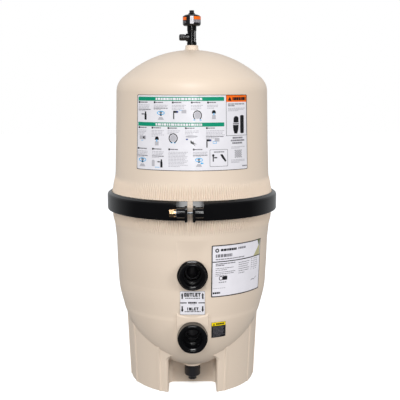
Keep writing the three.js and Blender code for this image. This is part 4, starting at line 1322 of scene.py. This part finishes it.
def dress_frame():
    """Better finishes for the CAD nodes that stay as they are."""
    looks = {
        RUBBER: ["tank_o_ring", "outlet_gasket", "inlet_gasket", "drain_plug_ring", "valve_ring",
                 "vent_cap_gasket"],
        # The outlet standpipe is made matt black so that the view down the outlet bore reads dark: painted
        # shade in the bore.
        MATT_BLACK: ["outlet_inner_nut", "inlet_inner_nut", "inlet_diffuser", "outlet_standpipe"],
        WHITE: ["valve_stem", "manifold", "grid_spacer", "air_bleed_tube", "air_bleed_screen"],
        CLOTH: [f"filter_grid_{i}" for i in range(1, 9)],
        STEEL: ["hold_down_rod", "rod_washer"],
        BRASS: ["rod_wing_nut"],
    }
    for material, names in looks.items():
        for name in names:
            for material_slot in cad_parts[name].material_slots:
                material_slot.material = material


def area_light(name, place, target, size, power, reflected=True):
    data = bpy.data.lights.new(name, "AREA")
    data.shape = "RECTANGLE"
    data.size, data.size_y = size
    data.energy = power
    light = bpy.data.objects.new(name, data)
    light.location = place
    light.visible_glossy = reflected
    light.rotation_euler = (Vector(target) - Vector(place)).to_track_quat("-Z", "Y").to_euler()
    bpy.context.scene.collection.objects.link(light)


def floor():
    """A pale floor that lights nothing and shows in no reflection."""
    corners = [(x * FLOOR_HALF, y * FLOOR_HALF, 0) for x, y in ((-1, -1), (1, -1), (1, 1), (-1, 1))]
    sheet = new_object("floor", corners, [(0, 1, 2, 3)])
    pale = surface("pale_floor", (250, 250, 250), 0.6, (200, 0.01), mottle=0.005)
    glow = {"Emission Color": (1, 1, 1, 1), "Emission Strength": 0.6}
    fill_in(pale.node_tree, pale.node_tree.nodes["Principled BSDF"], glow)
    sheet.data.materials.append(pale)
    sheet.visible_diffuse = False
    sheet.visible_glossy = False
    sheet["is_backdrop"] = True


def surroundings():
    """White to the camera. As light they are dim in front, brighter behind and dimmer below."""
    world = bpy.data.worlds.new("studio")
    bpy.context.scene.world = world
    world.use_nodes = True
    tree = world.node_tree
    shown = fill_in(tree, tree.nodes["Background"], {"Color": (1, 1, 1, 1), "Strength": 1.0})
    ray = tree.nodes.new("ShaderNodeLightPath").outputs
    towards = tree.nodes.new("ShaderNodeTexCoord").outputs["Generated"]
    split = add_node(tree, "SeparateXYZ", {"Vector": towards}).outputs
    in_front = arithmetic(tree, "MULTIPLY_ADD", ray["Is Glossy Ray"], GLOSS_FILL - FRONT_FILL, FRONT_FILL)
    along_depth = spread(tree, split["Y"], (-0.1, 0.6), (in_front, BACK_FILL))
    along_height = spread(tree, split["Z"], (-0.2, 0.4), (BELOW_FILL, 1.0))
    strength = arithmetic(tree, "MULTIPLY", along_depth, along_height)
    fill = add_node(tree, "Background", {"Color": (0.96, 0.98, 1.0, 1), "Strength": strength})
    shaders = {1: fill.outputs["Background"], 2: shown.outputs["Background"]}
    mix = add_node(tree, "MixShader", {"Fac": ray["Is Camera Ray"], **shaders})
    fill_in(tree, tree.nodes["World Output"], {"Surface": mix.outputs["Shader"]})


def studio():
    floor()
    surroundings()
    area_light("key", (-0.2, -4.4, 4.2), (0, 0, 0), (2.6, 1.3), 106)
    area_light("left", (-4.2, -3.8, 2.1), (0, 0, 0), (1.4, 1.8), 104, reflected=False)
    area_light("right", (4.2, -3.8, 2.1), (0, 0, 0), (1.4, 1.8), 110, reflected=False)
    area_light("strip", (0.15, -4.4, 1.4), (0, 0, 0.1), (0.3, 1.8), 24)
    bpy.context.scene.view_settings.view_transform = "Standard"


def camera():
    data = bpy.data.cameras.new("camera")
    data.lens = 69.9
    data.sensor_width = 36
    obj = bpy.data.objects.new("camera", data)
    obj.location = (-0.010, -2.505, 0.961)
    obj.rotation_euler = (math.radians(81.38), 0, math.radians(-0.823))
    bpy.context.scene.collection.objects.link(obj)
    bpy.context.scene.camera = obj


# ---- Assembly ----

camera()
studio()
dress_frame()
tank_body()
tank_ribs()
lid()
lid_ribs()
base_skirt()
for port_name in PORT_Z:
    bulkhead(port_name)
drain()
clamp()
fasteners()
valve_body()
vent_cover()
valve_knob()
lid_label()
nameplate()
port_label()
caution_label()
knob_label()

boxes = {"cad": CAD_BOX, "visual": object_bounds()}
{name: [list(corner) for corner in box] for name, box in boxes.items()}
